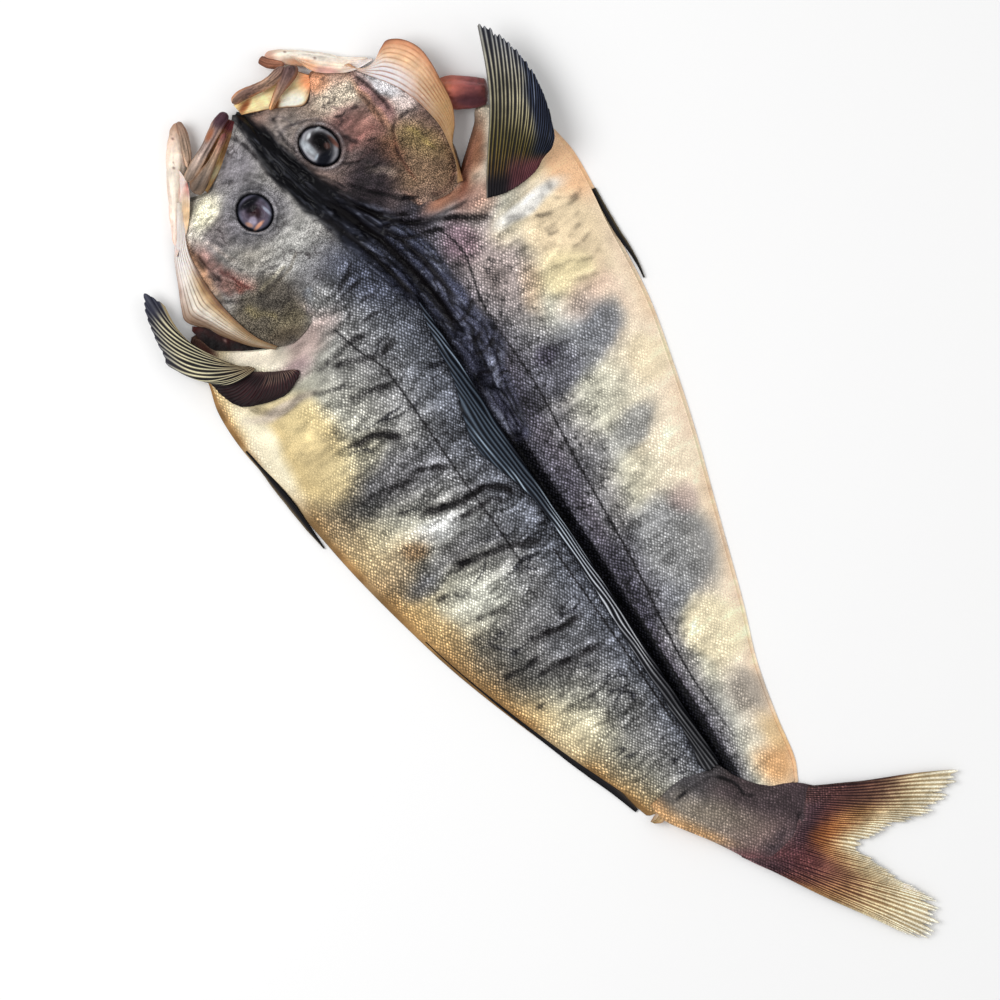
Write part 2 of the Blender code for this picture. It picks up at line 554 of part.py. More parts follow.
def main():
    for old in list(bpy.data.objects):
        bpy.data.objects.remove(old)
    fish = bpy.data.collections.new("split_dried_fish")
    parts = bpy.data.collections.new("joined_parts")
    cutters = bpy.data.collections.new("cutters")
    for group in (fish, parts, cutters):
        bpy.context.scene.collection.children.link(group)

    body = make_trunk(fish)
    collar = surface_of(body)
    make_head(parts)
    make_tail_root(parts)
    combined(body, "UNION", parts)

    for side, (x, y) in EYE_CENTRE.items():
        centre = Vector((x * UNIT, y * UNIT, HEAD_HEIGHT - EYE_SINK))
        wider = [r + SOCKET_GAP for r in EYE_RADII[side]]
        ball("socket_" + side, centre, wider, EYE_TURN[side], "skin", cutters)
        ball("eye_" + side, centre, EYE_RADII[side], EYE_TURN[side], "eye", fish)
    combined(body, "DIFFERENCE", cutters)
    body.data.materials.clear()
    body.data.materials.append(material("skin"))

    skin = surface_of(body)
    make_flesh(fish)
    make_tail_fin(skin, fish)
    make_dorsal_fin(skin, fish)
    make_anal_fin(fish)
    rod("throat", THROAT_LINE, 0.0060, 0.95, "meat", fish)
    for side in ("left", "right"):
        make_pectoral(side, skin, fish)
        make_pelvic(side, fish)
        make_gill_fan(side, collar, fish)
        make_mouth_skin(side, fish)
        make_upper_jaw(side, parts, fish)
        make_lower_jaw(side, fish)
    for group in (parts, cutters):
        bpy.data.collections.remove(group)


main()
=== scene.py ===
import math

import bpy
import numpy as np
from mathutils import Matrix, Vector
from mathutils.bvhtree import BVHTree


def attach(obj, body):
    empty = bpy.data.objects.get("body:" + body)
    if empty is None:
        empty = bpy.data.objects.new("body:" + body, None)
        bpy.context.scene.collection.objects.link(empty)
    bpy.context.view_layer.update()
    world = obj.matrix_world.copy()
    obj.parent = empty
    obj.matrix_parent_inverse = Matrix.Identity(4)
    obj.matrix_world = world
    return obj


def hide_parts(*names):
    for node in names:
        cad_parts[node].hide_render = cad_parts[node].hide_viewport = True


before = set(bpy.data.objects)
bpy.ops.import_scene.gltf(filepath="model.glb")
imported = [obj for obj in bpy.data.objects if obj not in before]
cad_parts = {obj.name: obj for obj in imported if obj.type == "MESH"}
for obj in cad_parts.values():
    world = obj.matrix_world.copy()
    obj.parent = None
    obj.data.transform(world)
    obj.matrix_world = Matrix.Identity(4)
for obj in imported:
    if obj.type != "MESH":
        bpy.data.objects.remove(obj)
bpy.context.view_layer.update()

mm = 0.001


# small tools

def eased(x):
    # 0 to 1 with soft ends
    x = np.clip(x, 0, 1)
    return x * x * (3 - 2 * x)


def rise(x, start, width):
    # 0 up to the start, then up to 1
    return eased((x - start) / width)


def fall(x, end, width):
    # 1, then down to 0 at the end
    return eased((end - x) / width)


def bell(x, width):
    return np.exp(-(x / width) ** 2)


def ribs(phase):
    # one rib in each whole step of phase
    return 0.5 + 0.5 * np.cos(2 * math.pi * phase)


def evenly(count):
    return np.linspace(0, 1, count)


def xy(plan):
    return plan[..., 0], plan[..., 1]


def rule(pairs, x):
    # smooth curve through a few (place, value) pairs; a value may be a tone
    pairs = sorted(pairs, key=lambda pair: pair[0])
    px = np.array([pair[0] for pair in pairs], float)
    py = np.array([pair[1] for pair in pairs], float)
    slope = np.gradient(py, px, axis=0)
    x = np.clip(x, px[0], px[-1])
    k = np.clip(np.searchsorted(px, x) - 1, 0, len(px) - 2)
    h = px[k + 1] - px[k]
    t = (x - px[k]) / h
    if py.ndim > 1:
        h, t = h[..., None], t[..., None]
    return ((2 * t**3 - 3 * t**2 + 1) * py[k] + (t**3 - 2 * t**2 + t) * h * slope[k]
            + (3 * t**2 - 2 * t**3) * py[k + 1] + (t**3 - t**2) * h * slope[k + 1])


def smoothLine(points, shares):
    # places at the given shares of a smooth line through a few points
    given = np.array(points, float)
    padded = np.vstack([2 * given[0] - given[1], given, 2 * given[-1] - given[-2]])
    t = np.linspace(0, 1, 16, endpoint=False)[:, None]
    runs = []
    for k in range(len(given) - 1):
        a, b, c, d = padded[k:k + 4]
        runs.append(0.5 * (2 * b + (c - a) * t + (2 * a - 5 * b + 4 * c - d) * t**2
                           + (3 * b - a - 3 * c + d) * t**3))
    dense = np.vstack([*runs, given[-1:]])
    length = np.concatenate([[0], np.cumsum(np.linalg.norm(np.diff(dense[:, :2], axis=0), axis=1))])
    places = np.array(shares) * length[-1]
    return np.stack([np.interp(places, length, column) for column in dense.T], axis=1)


def coons(inner, outer, start, end, u, w):
    # fills the space inside four edges; inner and outer run along the rows
    u, w = np.asarray(u)[:, None, None], np.asarray(w)[None, :, None]
    ruled = (1 - w) * inner[:, None] + w * outer[:, None] + (1 - u) * start[None] + u * end[None]
    corners = (1 - u) * ((1 - w) * start[0] + w * start[-1]) + u * ((1 - w) * end[0] + w * end[-1])
    return ruled - corners


def scattered(v):
    # a number from 0 to 1 that jumps about as v changes
    v = np.sin(v) * 43758.5453
    return v - np.floor(v)


def grain(x, y, size, octaves, seed):
    # cloudy noise from -1 to 1; size is its coarsest spot in mm
    total, weight, share = 0, 0, 1.0
    for k in range(octaves):
        px, py = x / size * 2**k + 31.7 * (seed + k), y / size * 2**k - 17.9 * (seed + k)
        xi, yi = np.floor(px), np.floor(py)
        fx, fy = eased(px - xi), eased(py - yi)

        def corner(a, b):
            return 2 * scattered(a * 127.1 + b * 311.7) - 1

        low = corner(xi, yi) * (1 - fx) + corner(xi + 1, yi) * fx
        high = corner(xi, yi + 1) * (1 - fx) + corner(xi + 1, yi + 1) * fx
        total = total + share * (low * (1 - fy) + high * fy)
        weight += share
        share *= 0.55
    return total / weight


def nearLine(x, y, points):
    # signed distance to a smooth line, and how far along it the nearest place is
    count = 4 * (len(points) - 1) + 1
    line = smoothLine(points, evenly(count))[:, :2]
    best = np.full(x.shape, 1e6)
    side, share = np.ones(x.shape), np.zeros(x.shape)
    for k in range(count - 1):
        (ax, ay), (bx, by) = line[k], line[k + 1]
        lx, ly = bx - ax, by - ay
        t = np.clip(((x - ax) * lx + (y - ay) * ly) / (lx * lx + ly * ly), 0, 1)
        dx, dy = x - ax - t * lx, y - ay - t * ly
        d = np.hypot(dx, dy)
        closer = d < best
        best = np.where(closer, d, best)
        side = np.where(closer, np.sign(lx * dy - ly * dx) + 1e-9, side)
        share = np.where(closer, (k + t) / (count - 1), share)
    return best * np.sign(side), share


def creases(x, y, size, width, seed):
    # 1 along the thin wandering lines where cloudy noise crosses zero
    return np.clip(1 - np.abs(grain(x, y, size, 3, seed)) / width, 0, 1) ** 1.5


def ovalDistance(x, y, centre, radii, turn):
    # 0 in the middle of an ellipse and 1 on its outline
    c, s = math.cos(math.radians(turn)), math.sin(math.radians(turn))
    dx, dy = x - centre[0], y - centre[1]
    return np.hypot((dx * c + dy * s) / radii[0], (dy * c - dx * s) / radii[1])


def blob(x, y, centreX, centreY, across, along, turn, soft):
    # 1 inside an ellipse, fading to 0 past its edge
    r = ovalDistance(x, y, (centreX, centreY), (across, along), turn)
    return eased((1 + soft - r) / (2 * soft))


def dab(paint, tone, mask):
    # one tone over the paint where the mask is 1
    return paint + (np.array(tone, float) - paint) * np.clip(mask, 0, 1)[..., None]


def dabAll(paint, x, y, dabs):
    # spots of tone, centre, radii and turn, and for some their softness and strength
    for tone, centre, radii, turn, *rest in dabs:
        soft, strength = rest or (0.6, 1)
        paint = dab(paint, tone, strength * blob(x, y, *centre, *radii, turn, soft))
    return paint


def fold(distance, share, width, depth):
    # a crease with a raised lip on one side, fading out at both ends: height, painted crease shade and
    # painted highlight on the lip
    ends = eased(share / 0.15) * fall(share, 1, 0.15)
    crease = bell(distance, 0.75 * width)
    ridge = bell(distance - 1.7 * width, 0.9 * width)
    shade = crease + 0.22 * bell(distance, 2.6 * width)
    return depth * ends * (0.5 * ridge - crease), ends * np.clip(shade, 0, 1), ends * ridge


def linear(tone):
    # screen tones from 0 to 255 as the linear ones that shaders read
    tone = np.clip(np.asarray(tone, float), 0, 255) / 255
    return np.where(tone <= 0.04045, tone / 12.92, ((tone + 0.055) / 1.055) ** 2.4)


def addColours(mesh, name, values):
    layer = mesh.color_attributes.new(name, "FLOAT_COLOR", "POINT")
    filled = np.ones((len(mesh.vertices), 4))
    filled[:, :3] = values
    layer.data.foreach_set("color", filled.ravel())


def makePiece(name, points, faces, paint, detail, material, nodes):
    # points in mm, paint as screen tones, detail = scale strength, wrinkle strength, wetness
    mesh = bpy.data.meshes.new(name)
    mesh.from_pydata((points * mm).tolist(), [], faces)
    mesh.polygons.foreach_set("use_smooth", [True] * len(mesh.polygons))
    addColours(mesh, "paint", linear(paint))
    addColours(mesh, "detail", detail)
    mesh.materials.append(material)
    piece = bpy.data.objects.new(name, mesh)
    bpy.context.scene.collection.objects.link(piece)
    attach(piece, "root")
    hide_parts(*nodes)


def quads(index):
    # faces of a grid of point numbers
    a, b, c, d = index[:-1, :-1], index[:-1, 1:], index[1:, 1:], index[1:, :-1]
    return np.stack([a, d, c, b], axis=-1).reshape(-1, 4)


def numbered(rows, columns, start=0):
    return np.arange(start, start + rows * columns).reshape(rows, columns)


def flat(values, shape):
    return np.broadcast_to(values, shape).reshape(-1, 3)


leafLook = {
    "lowest": 0.05,  # mm above the floor
    # painted shade on the lower faces of thin sheets
    "shadeBelow": 0.8,
}


def closedSheet(plan, upper, lower):
    # points and faces of a sheet with an upper and a lower face and a rim that shares their points
    rows, columns = upper.shape
    count = rows * columns
    index = numbered(rows, columns)
    rim = np.concatenate([index[0, :-1], index[:-1, -1], index[-1, :0:-1], index[:0:-1, 0]])
    turned = np.roll(rim, -1)
    sides = np.stack([rim, turned, turned + count, rim + count], axis=-1)
    faces = np.concatenate([quads(index), quads(index + count)[:, ::-1], sides])
    points = np.concatenate([np.dstack([plan, height]).reshape(-1, 3) for height in (upper, lower)])
    return points, faces.tolist()


def tubeFaces(rows, around):
    # rings joined into a tube that is closed at both ends
    ring = numbered(rows, around)
    ring = np.concatenate([ring, ring[:, :1]], axis=1)
    return quads(ring)[:, ::-1].tolist() + [ring[0, :-1].tolist(), ring[-1, -2::-1].tolist()]


def leafPiece(name, plan, height, paint, detail, thickness, material, nodes):
    # a thin sheet, with painted shade on its lower face
    points, faces = closedSheet(plan, height, np.maximum(height - thickness, leafLook["lowest"]))
    paint = flat(paint, (*height.shape, 3))
    paint = np.concatenate([paint, paint * leafLook["shadeBelow"]])
    detail = np.tile(flat(np.array(detail, float), (*height.shape, 3)), (2, 1))
    makePiece(name, points, faces, paint, detail, material, nodes)


# materials: every one reads the piece's own paint and adds its fine grain

def shaderFor(name, roughness, specular):
    material = bpy.data.materials.new(name)
    material.use_nodes = True
    tree = material.node_tree
    shader = tree.nodes["Principled BSDF"]
    shader.inputs["Roughness"].default_value = roughness
    shader.inputs["Specular IOR Level"].default_value = specular
    return material, tree, shader


def add(tree, kind, **values):
    # a new node; a value is another node's socket, a number for one of its own, or a setting
    node = tree.nodes.new("ShaderNode" + kind)
    for key, value in values.items():
        if isinstance(value, bpy.types.NodeSocket):
            tree.links.new(value, node.inputs[key])
        elif key in node.inputs:
            node.inputs[key].default_value = value
        else:
            setattr(node, key, value)
    return node


def maths(tree, operation, *values):
    node = add(tree, "Math", operation=operation)
    for socket, value in zip(node.inputs, values):
        if isinstance(value, (int, float)):
            socket.default_value = value
        else:
            tree.links.new(value, socket)
    return node.outputs[0]


def timesPlus(tree, value, factor, offset):
    # value multiplied, then added to
    return maths(tree, "MULTIPLY_ADD", value, factor, offset)


def times(tree, colour, factor):
    # colour multiplied by a number
    node = add(tree, "VectorMath", operation="SCALE", Scale=factor)
    tree.links.new(colour, node.inputs[0])
    return node.outputs[0]


def paintOf(tree, name):
    return add(tree, "Attribute", attribute_name=name).outputs["Color"]


def clouds(tree, place, scale, detail, roughness=0.5):
    # cloudy noise from 0 to 1
    noise = add(tree, "TexNoise", Vector=place, Scale=scale, Detail=detail, Roughness=roughness)
    return noise.outputs["Fac"]


def domes(tree, place, scale, randomness, border, middle):
    # rounded cells: how high each place is, and a random colour for each cell
    cells = add(tree, "TexVoronoi", voronoi_dimensions="2D", Vector=place, Scale=scale,
                Randomness=randomness)
    dome = add(tree, "MapRange", Value=cells.outputs["Distance"])
    dome.inputs["From Min"].default_value = border
    dome.inputs["From Max"].default_value = middle
    return dome.outputs[0], cells.outputs["Color"]


scaleLook = {
    "across": 0.98,  # mm between scales
    "along": 1.42,
    "turn": 45,
    "wander": 0.0045,  # metres
    # dark and bright: each scale's middle is brightened, partly its own paler middle and partly painted
    # highlight
    "dark": 0.22,  # brightness between scales
    "bright": 3.4,  # added on them
    "grain": 0.66,  # mm between the leathery grains of head and neck
    "dome": 0.32,  # mm
}


def skinMaterial():
    material, tree, shader = shaderFor("driedSkin", 0.42, 0.09)
    links = tree.links
    paint, detail = paintOf(tree, "paint"), paintOf(tree, "detail")
    scaly, grainy, wet = add(tree, "SeparateColor", Color=detail).outputs
    place = add(tree, "TexCoord").outputs["Object"]
    # rows of scales wander a little
    warp = add(tree, "TexNoise", Vector=place, Scale=70.0, Detail=3.0)
    shift = add(tree, "VectorMath", operation="MULTIPLY_ADD")
    shift.inputs[1].default_value = (scaleLook["wander"], scaleLook["wander"], 0)
    links.new(warp.outputs["Color"], shift.inputs[0])
    links.new(place, shift.inputs[2])
    pitch = (1 / (scaleLook["across"] * mm), 1 / (scaleLook["along"] * mm), 0)
    lattice = add(tree, "Mapping", Vector=shift.outputs[0], Scale=pitch).outputs[0]
    turned = add(tree, "VectorRotate", rotation_type="Z_AXIS", Vector=lattice,
                 Angle=math.radians(scaleLook["turn"]))
    dome, cellColour = domes(tree, turned.outputs[0], 1.0, 0.30, 0.56, 0.02)
    # each scale's middle brightened, partly its own paler middle and partly painted highlight
    peak = timesPlus(tree, maths(tree, "POWER", dome, 1.8), scaleLook["bright"], scaleLook["dark"])
    # painted glints: some scales catch the light, more of them in some places
    patches = clouds(tree, place, 210.0, 2.0)
    chance = add(tree, "SeparateColor", Color=cellColour).outputs[0]
    lit = maths(tree, "MULTIPLY", chance, timesPlus(tree, patches, 2.2, -0.45))
    glint = timesPlus(tree, lit, 1.7, 0.42)
    away = maths(tree, "SUBTRACT", maths(tree, "MULTIPLY", peak, glint), 1.0)
    scaled = timesPlus(tree, away, scaly, 1.0)
    # leathery grains
    pebble, _ = domes(tree, shift.outputs[0], 1 / (scaleLook["grain"] * mm), 0.9, 0.64, 0.04)
    lift = timesPlus(tree, maths(tree, "POWER", pebble, 1.6), 2.7, -0.6)
    leather = maths(tree, "MULTIPLY", lift, timesPlus(tree, patches, 1.5, 0.2))
    pattern = maths(tree, "MULTIPLY", scaled, timesPlus(tree, leather, grainy, 1.0))
    fine = clouds(tree, place, 1500.0, 3.0, 0.6)
    centred = maths(tree, "SUBTRACT", fine, 0.5)
    mottle = timesPlus(tree, centred, timesPlus(tree, grainy, 1.9, 0.35), 1.0)
    colour = times(tree, times(tree, paint, pattern), maths(tree, "MAXIMUM", mottle, 0.15))
    links.new(colour, shader.inputs["Base Color"])
    bump = add(tree, "Bump", Strength=0.55, Distance=scaleLook["dome"] * mm,
               Height=maths(tree, "MULTIPLY", dome, scaly))
    rough = timesPlus(tree, pebble, 0.25, clouds(tree, place, 700.0, 5.0, 0.65))
    crumple = add(tree, "Bump", Strength=0.8, Distance=0.6 * mm, Normal=bump.outputs[0],
                  Height=maths(tree, "MULTIPLY", rough, grainy))
    links.new(crumple.outputs[0], shader.inputs["Normal"])
    gloss = timesPlus(tree, wet, -0.25, 0.46)
    links.new(timesPlus(tree, fine, 0.16, gloss), shader.inputs["Roughness"])
    return material


def plainMaterial(name, roughness, grainSize, mottle, bumpDepth, translucent=0.0):
    # paint with a fine grain in its tone, height and gloss
    material, tree, shader = shaderFor(name, roughness, 0.13)
    links = tree.links
    place = add(tree, "TexCoord").outputs["Object"]
    fine = clouds(tree, place, 1 / (grainSize * mm), 5.0, 0.62)
    tone = timesPlus(tree, fine, 2 * mottle, 1 - mottle)
    links.new(times(tree, paintOf(tree, "paint"), tone), shader.inputs["Base Color"])
    bump = add(tree, "Bump", Strength=0.6, Distance=bumpDepth * mm, Height=fine)
    links.new(bump.outputs[0], shader.inputs["Normal"])
    links.new(timesPlus(tree, fine, 0.3, roughness - 0.15), shader.inputs["Roughness"])
    if translucent:
        shader.inputs["Subsurface Weight"].default_value = translucent
        shader.inputs["Subsurface Radius"].default_value = (0.004, 0.002, 0.001)
        shader.inputs["Subsurface Scale"].default_value = 0.5
    return material


skin = skinMaterial()
finSkin = plainMaterial("driedFin", 0.42, 0.7, 0.30, 0.12)
membrane = plainMaterial("driedMembrane", 0.42, 1.2, 0.22, 0.35, 0.12)
boneSkin = plainMaterial("driedJaw", 0.4, 0.8, 0.55, 0.35)
meat = plainMaterial("driedMeat", 0.38, 1.4, 0.35, 0.5, 0.1)
wetEye = plainMaterial("clouded", 0.30, 0.9, 0.30, 0.12)
for sheen in ("Coat Weight", "Specular IOR Level"):
    wetEye.node_tree.nodes["Principled BSDF"].inputs[sheen].default_value = 0.06
print("materials ready")


# skin: head and both flanks as one surface, open at the gills

body = {
    "halfColumns": 160,
    "headRows": 168,
    "trunkRows": 415,
    "nape": {"left": 64, "right": 38},  # columns that run on from head to trunk
    "flankHeight": 17.5,  # mm, as every length here
    "headHeight": 21.5,
    # shares of those heights along the trunk and the head, and across them from the back to the edge
    "trunkAlong": [(0, 0.80), (0.1, 0.97), (0.25, 1), (0.5, 0.9), (0.75, 0.68), (0.9, 0.52), (1, 0.40)],
    "besideBack": {
        "left": [(0, 0.56), (0.03, 0.66), (0.08, 0.84)],
        "right": [(0, 0.56), (0.03, 0.46), (0.06, 0.58), (0.10, 0.84)],
    },
    "trunkAcross": [(0.16, 0.95), (0.3, 1), (0.45, 0.95), (0.6, 0.84), (0.75, 0.66), (0.88, 0.44),
                    (0.96, 0.26), (1, 0.14)],
    "headAlong": [(0, 0.30), (0.06, 0.5), (0.16, 0.74), (0.35, 0.95), (0.6, 0.97), (0.85, 0.86), (1, 0.76)],
    "headAcross": [(0, 0.80), (0.13, 0.82), (0.31, 0.97), (0.5, 0.95), (0.7, 0.80), (0.85, 0.64),
                   (1, 0.45)],
    "lowest": 0.8,
    "rim": [(0.35, 0.5), (0.45, 1.2), (-0.3, 2.0), (-1.6, 40)],  # the rounded edge: outwards, down
    "rimLowest": 0.45,
    "backLine": [(4, 104), (4.8, 90), (5, 75), (4, 40), (2.6, 10), (2, -50), (0.5, -100), (-0.6, -135),
                 (-1, -152)],
    "leftEdge": [(-82, 93), (-85, 83), (-85.7, 70), (-84.6, 57), (-81.3, 38), (-79.6, 20), (-76.7, -3),
                 (-72, -29), (-66, -56), (-57.3, -85), (-48, -112), (-37.8, -138), (-35, -147)],
    "rightEdge": [(88, 99.7), (89.2, 88), (87.6, 71), (85.3, 57), (81.3, 25), (74, -4), (66, -31),
                  (56, -60), (43.3, -97), (34, -121), (28, -144), (24.6, -161), (20.4, -170)],
    "rear": {
        "left": [(-1, -152), (-12, -151), (-24, -150), (-35, -147)],
        "right": [(-1, -152), (4.5, -161.5), (12, -167), (20.4, -170)],
    },
    "napeLine": {
        "left": [(4, 104), (-5, 103), (-15, 99.5), (-24, 96.5), (-30.5, 94)],
        "right": [(4, 104), (10, 102.5), (18, 103.2), (26, 105)],
    },
    "gillEdge": {
        "left": [(-30.5, 94), (-35, 91), (-40, 89.4), (-46, 88.8), (-52, 91)],
        "right": [(26, 105), (33.7, 103.2), (39.7, 102.6), (45, 104)],
    },
    "collarEdge": {
        "left": [(-30.5, 94), (-37, 91.5), (-44, 90.4), (-50, 90.3), (-60, 94.5), (-70, 101), (-74, 105.3),
                 (-76, 111.5), (-78.3, 112), (-80, 102), (-82, 93)],
        "right": [(26, 105), (32, 104.4), (38, 103.9), (45, 104), (54.5, 111), (65, 119.5), (69, 124),
                  (74, 120), (82, 108), (88, 99.7)],
    },
    "headLine": [(-13, 177.5), (-12, 168), (-10, 155), (-7, 140), (-2.5, 122), (4, 104)],
    "mouthEdge": {
        "left": [(-13, 177.5), (-19, 171.5), (-26, 166), (-33, 161), (-40, 157.3), (-49.5, 160)],
        "right": [(-13, 177.5), (-8, 173.5), (0, 171), (12, 164.5), (17, 168), (22, 173.5), (34, 169)],
    },
    "cheekEdge": {
        "left": [(-49.5, 160), (-56, 151), (-60.5, 140), (-61.5, 124), (-60, 110), (-57, 99), (-52, 91)],
        "right": [(34, 169), (38.5, 162.5), (48, 147), (52, 130), (51, 119), (48.5, 110.5), (45, 104)],
    },
}
eyes = {
    "left": {"centre": (-28.7, 139.2), "radii": (7.1, 7.8), "turn": 0},
    "right": {"centre": (7.6, 146.5), "radii": (7.3, 8.9), "turn": 18},
}


halfW = evenly(body["halfColumns"] + 1)[None]  # 0 on the back, 1 at the belly edge
trunkU = evenly(body["trunkRows"])[:, None]  # 0 at the neck
headU = evenly(body["headRows"])[:, None]  # 0 at the mouth


def halfPlans(side):
    # where the points of one half of the head and of the trunk lie, seen from above
    n, nape = body["halfColumns"], body["nape"][side]
    w, hu, tu = halfW[0], headU[:, 0], trunkU[:, 0]
    shared = smoothLine(body["napeLine"][side], evenly(nape + 1))
    beyond = evenly(n - nape + 1)[1:]
    headRear = np.concatenate([shared, smoothLine(body["gillEdge"][side], beyond)])
    trunkFront = np.concatenate([shared, smoothLine(body["collarEdge"][side], beyond)])
    edge = body["leftEdge"] if side == "left" else body["rightEdge"]
    head = coons(smoothLine(body["headLine"], hu), smoothLine(body["cheekEdge"][side], hu),
                 smoothLine(body["mouthEdge"][side], w), headRear, hu, w)
    trunk = coons(smoothLine(body["backLine"], tu), smoothLine(edge, tu), trunkFront,
                  smoothLine(body["rear"][side], w), tu, w)
    return head, trunk


def beyondNape(side):
    # 1 where head and trunk are parted, 0 where they run on into each other
    return eased((halfW - body["nape"][side] / body["halfColumns"]) / 0.14)


napeHeight = rule([(0, 11.8), (0.05, 12.4), (0.15, 13.9), (0.4, 14.4), (1, 13)], halfW)

wrinkles = [
    # line, width, depth, strength of painted crease shade: the left flank's folds, then the neck's, then
    # the right flank's
    ([(-53, 41), (-44, 40.5), (-38, 39), (-30, 32)], 1.5, 1.2, 0.6),
    ([(-62, 21), (-50, 19), (-40, 17), (-32, 17), (-20, 12)], 1.5, 1.2, 0.6),
    ([(-44, 3), (-34, 1), (-27, -1.5), (-18, -2), (-10, -6), (-6, -14)], 1.6, 1.6, 0.8),
    ([(-36, -5), (-26, -7), (-16, -8), (-10, -12)], 1.1, 0.9, 0.5),
    ([(-47, -23), (-38, -22.5), (-30, -25), (-20, -27), (-11, -31), (-7, -36)], 1.6, 1.5, 0.75),
    ([(-58, -28), (-50, -30), (-42, -33)], 1.2, 0.9, 0.4),
    ([(-50, -44), (-40, -46), (-30, -47), (-20, -50)], 1.1, 0.8, 0.35),
    ([(-37, -61), (-30, -63.5), (-22, -65.5), (-11, -67)], 1.4, 1.1, 0.7),
    ([(-58, -70), (-46, -70.5), (-34, -70)], 1.3, 0.9, 0.5),
    ([(-42, -77), (-33, -77), (-20, -79), (-12, -80)], 1.4, 1.1, 0.65),
    ([(-50, -86), (-42, -88), (-34, -88.5)], 1.0, 0.7, 0.4),
    ([(-34, -93), (-30, -94.5), (-24, -94)], 0.8, 0.5, 0.4),
    ([(-28, -98), (-22, -98.5)], 0.7, 0.4, 0.4),
    ([(-40, 73), (-30, 69), (-22, 65.5), (-10, 66.5)], 1.3, 1.1, 0.65),
    ([(-50, 75), (-38, 74), (-28, 76), (-16, 73)], 1.2, 0.9, 0.5),
    ([(-46, 57), (-36, 56), (-24, 54), (-14, 50)], 1.2, 0.9, 0.45),
    ([(-20, 95), (-14, 98), (-7, 103)], 0.9, 0.8, 0.7),
    ([(-27, 90), (-20, 92.5), (-13, 94), (-7, 94.5)], 0.9, 0.7, 0.6),
    ([(-24, 84), (-14, 87), (-5, 86)], 0.8, 0.5, 0.4),
    ([(-22, 78), (-12, 80), (-4, 78)], 0.8, 0.5, 0.4),
    ([(6, 106), (14, 104.5), (24, 99.5), (33, 95), (42, 89), (50, 84)], 1.1, 1.7, 0.7),
    ([(5, 112), (9, 104), (14, 98), (24, 94), (34, 90)], 0.9, 1.2, 0.6),
    ([(20, 104), (28, 99), (38, 96.5), (47, 96)], 0.9, 1.0, 0.4),
    ([(-4, 132), (1, 118), (6, 104), (9, 92), (11, 80), (12, 66), (11, 50)], 1.9, 1.8, 1.0),
    ([(-9, 128), (-4, 114), (0, 100), (3, 86), (5, 72)], 1.2, 1.0, 0.85),
    ([(3, 124), (10, 112), (17, 104), (27, 98)], 1.3, 1.2, 0.9),
    ([(8, 108), (13, 98), (16, 86), (17, 74), (17, 62)], 1.3, 1.2, 0.85),
    ([(12, 96), (17, 90), (20, 80), (22, 70)], 1.0, 0.7, 0.6),
    ([(9, 62), (14, 58), (20, 60), (24, 64)], 1.0, 0.8, 0.6),
    ([(8, 52), (13, 49), (19, 50), (23, 55)], 0.9, 0.7, 0.55),
    ([(10, 45), (16, 43), (22, 45), (25, 50)], 0.9, 0.7, 0.6),
    ([(7, 37), (13, 34), (18, 36), (21, 42)], 0.9, 0.8, 0.6),
    ([(9, 29), (15, 31), (20, 30)], 0.8, 0.6, 0.5),
    ([(54, 72), (64, 68), (75, 69)], 1.0, 0.6, 0.18),
    ([(56, 64), (66, 61), (78, 63)], 1.1, 0.7, 0.2),
    ([(54, 55), (62, 53), (72, 50), (80, 51)], 1.0, 0.6, 0.18),
    ([(60, 46), (70, 43), (79, 41)], 1.0, 0.5, 0.15),
    ([(60, 77), (68, 73), (80, 72), (86, 76)], 0.8, 0.8, 0.3),
    ([(58, 68), (68, 66), (80, 67)], 0.7, 0.6, 0.25),
    ([(50, 60), (58, 60), (70, 57), (80, 58)], 0.7, 0.6, 0.2),
    ([(70, 80), (78, 74), (84, 74)], 0.8, 0.8, 0.35),
    ([(-78, 80), (-72, 74), (-67, 69), (-60, 67.5), (-52, 69)], 1.6, 1.2, 0.2),
    ([(51, 82), (56, 79), (62, 78), (70, 80), (78, 85)], 1.6, 1.2, 0.2),
    ([(-52, 68), (-44, 64), (-36, 62)], 1.0, 0.6, 0.3),
]


def foldRelief(lines, x, y, bend, seed):
    # height, painted crease shade and painted lip highlights of a list of folds, each broken up along its
    # length
    relief, dark, lit = np.zeros(x.shape), np.zeros(x.shape), np.zeros(x.shape)
    shift = bend * grain(x, y, 8, 3, seed=seed)
    broken = 0.15 + 0.85 * eased((grain(x, y, 5.5, 3, seed=seed + 40) + 0.22) / 0.5)
    for line, width, depth, shade in lines:
        lx, ly = [p[0] for p in line], [p[1] for p in line]
        near = (x > min(lx) - 8) & (x < max(lx) + 8) & (y > min(ly) - 8) & (y < max(ly) + 8)
        distance, share = nearLine(x[near], y[near] + shift[near], line)
        height, crease, lip = fold(distance, share, 1.15 * width, depth)
        much = np.maximum(broken[near], 1.35 * shade - 0.35)
        relief[near] += height * much
        dark[near] = np.maximum(dark[near], min(1, 1.3 * shade) * crease * much)
        lit[near] = np.maximum(lit[near], 0.8 * shade * lip * much)
    return relief, dark, lit


def slopeLight(x, y, size, seed, reach=0.7):
    # light on one flank and shade on the other of soft wrinkles that run along x
    ahead = grain(x, y + reach, size, 4, seed=seed)
    behind = grain(x, y - reach, size, 4, seed=seed)
    return np.clip((behind - ahead) * size / (3.2 * reach), -1, 1)


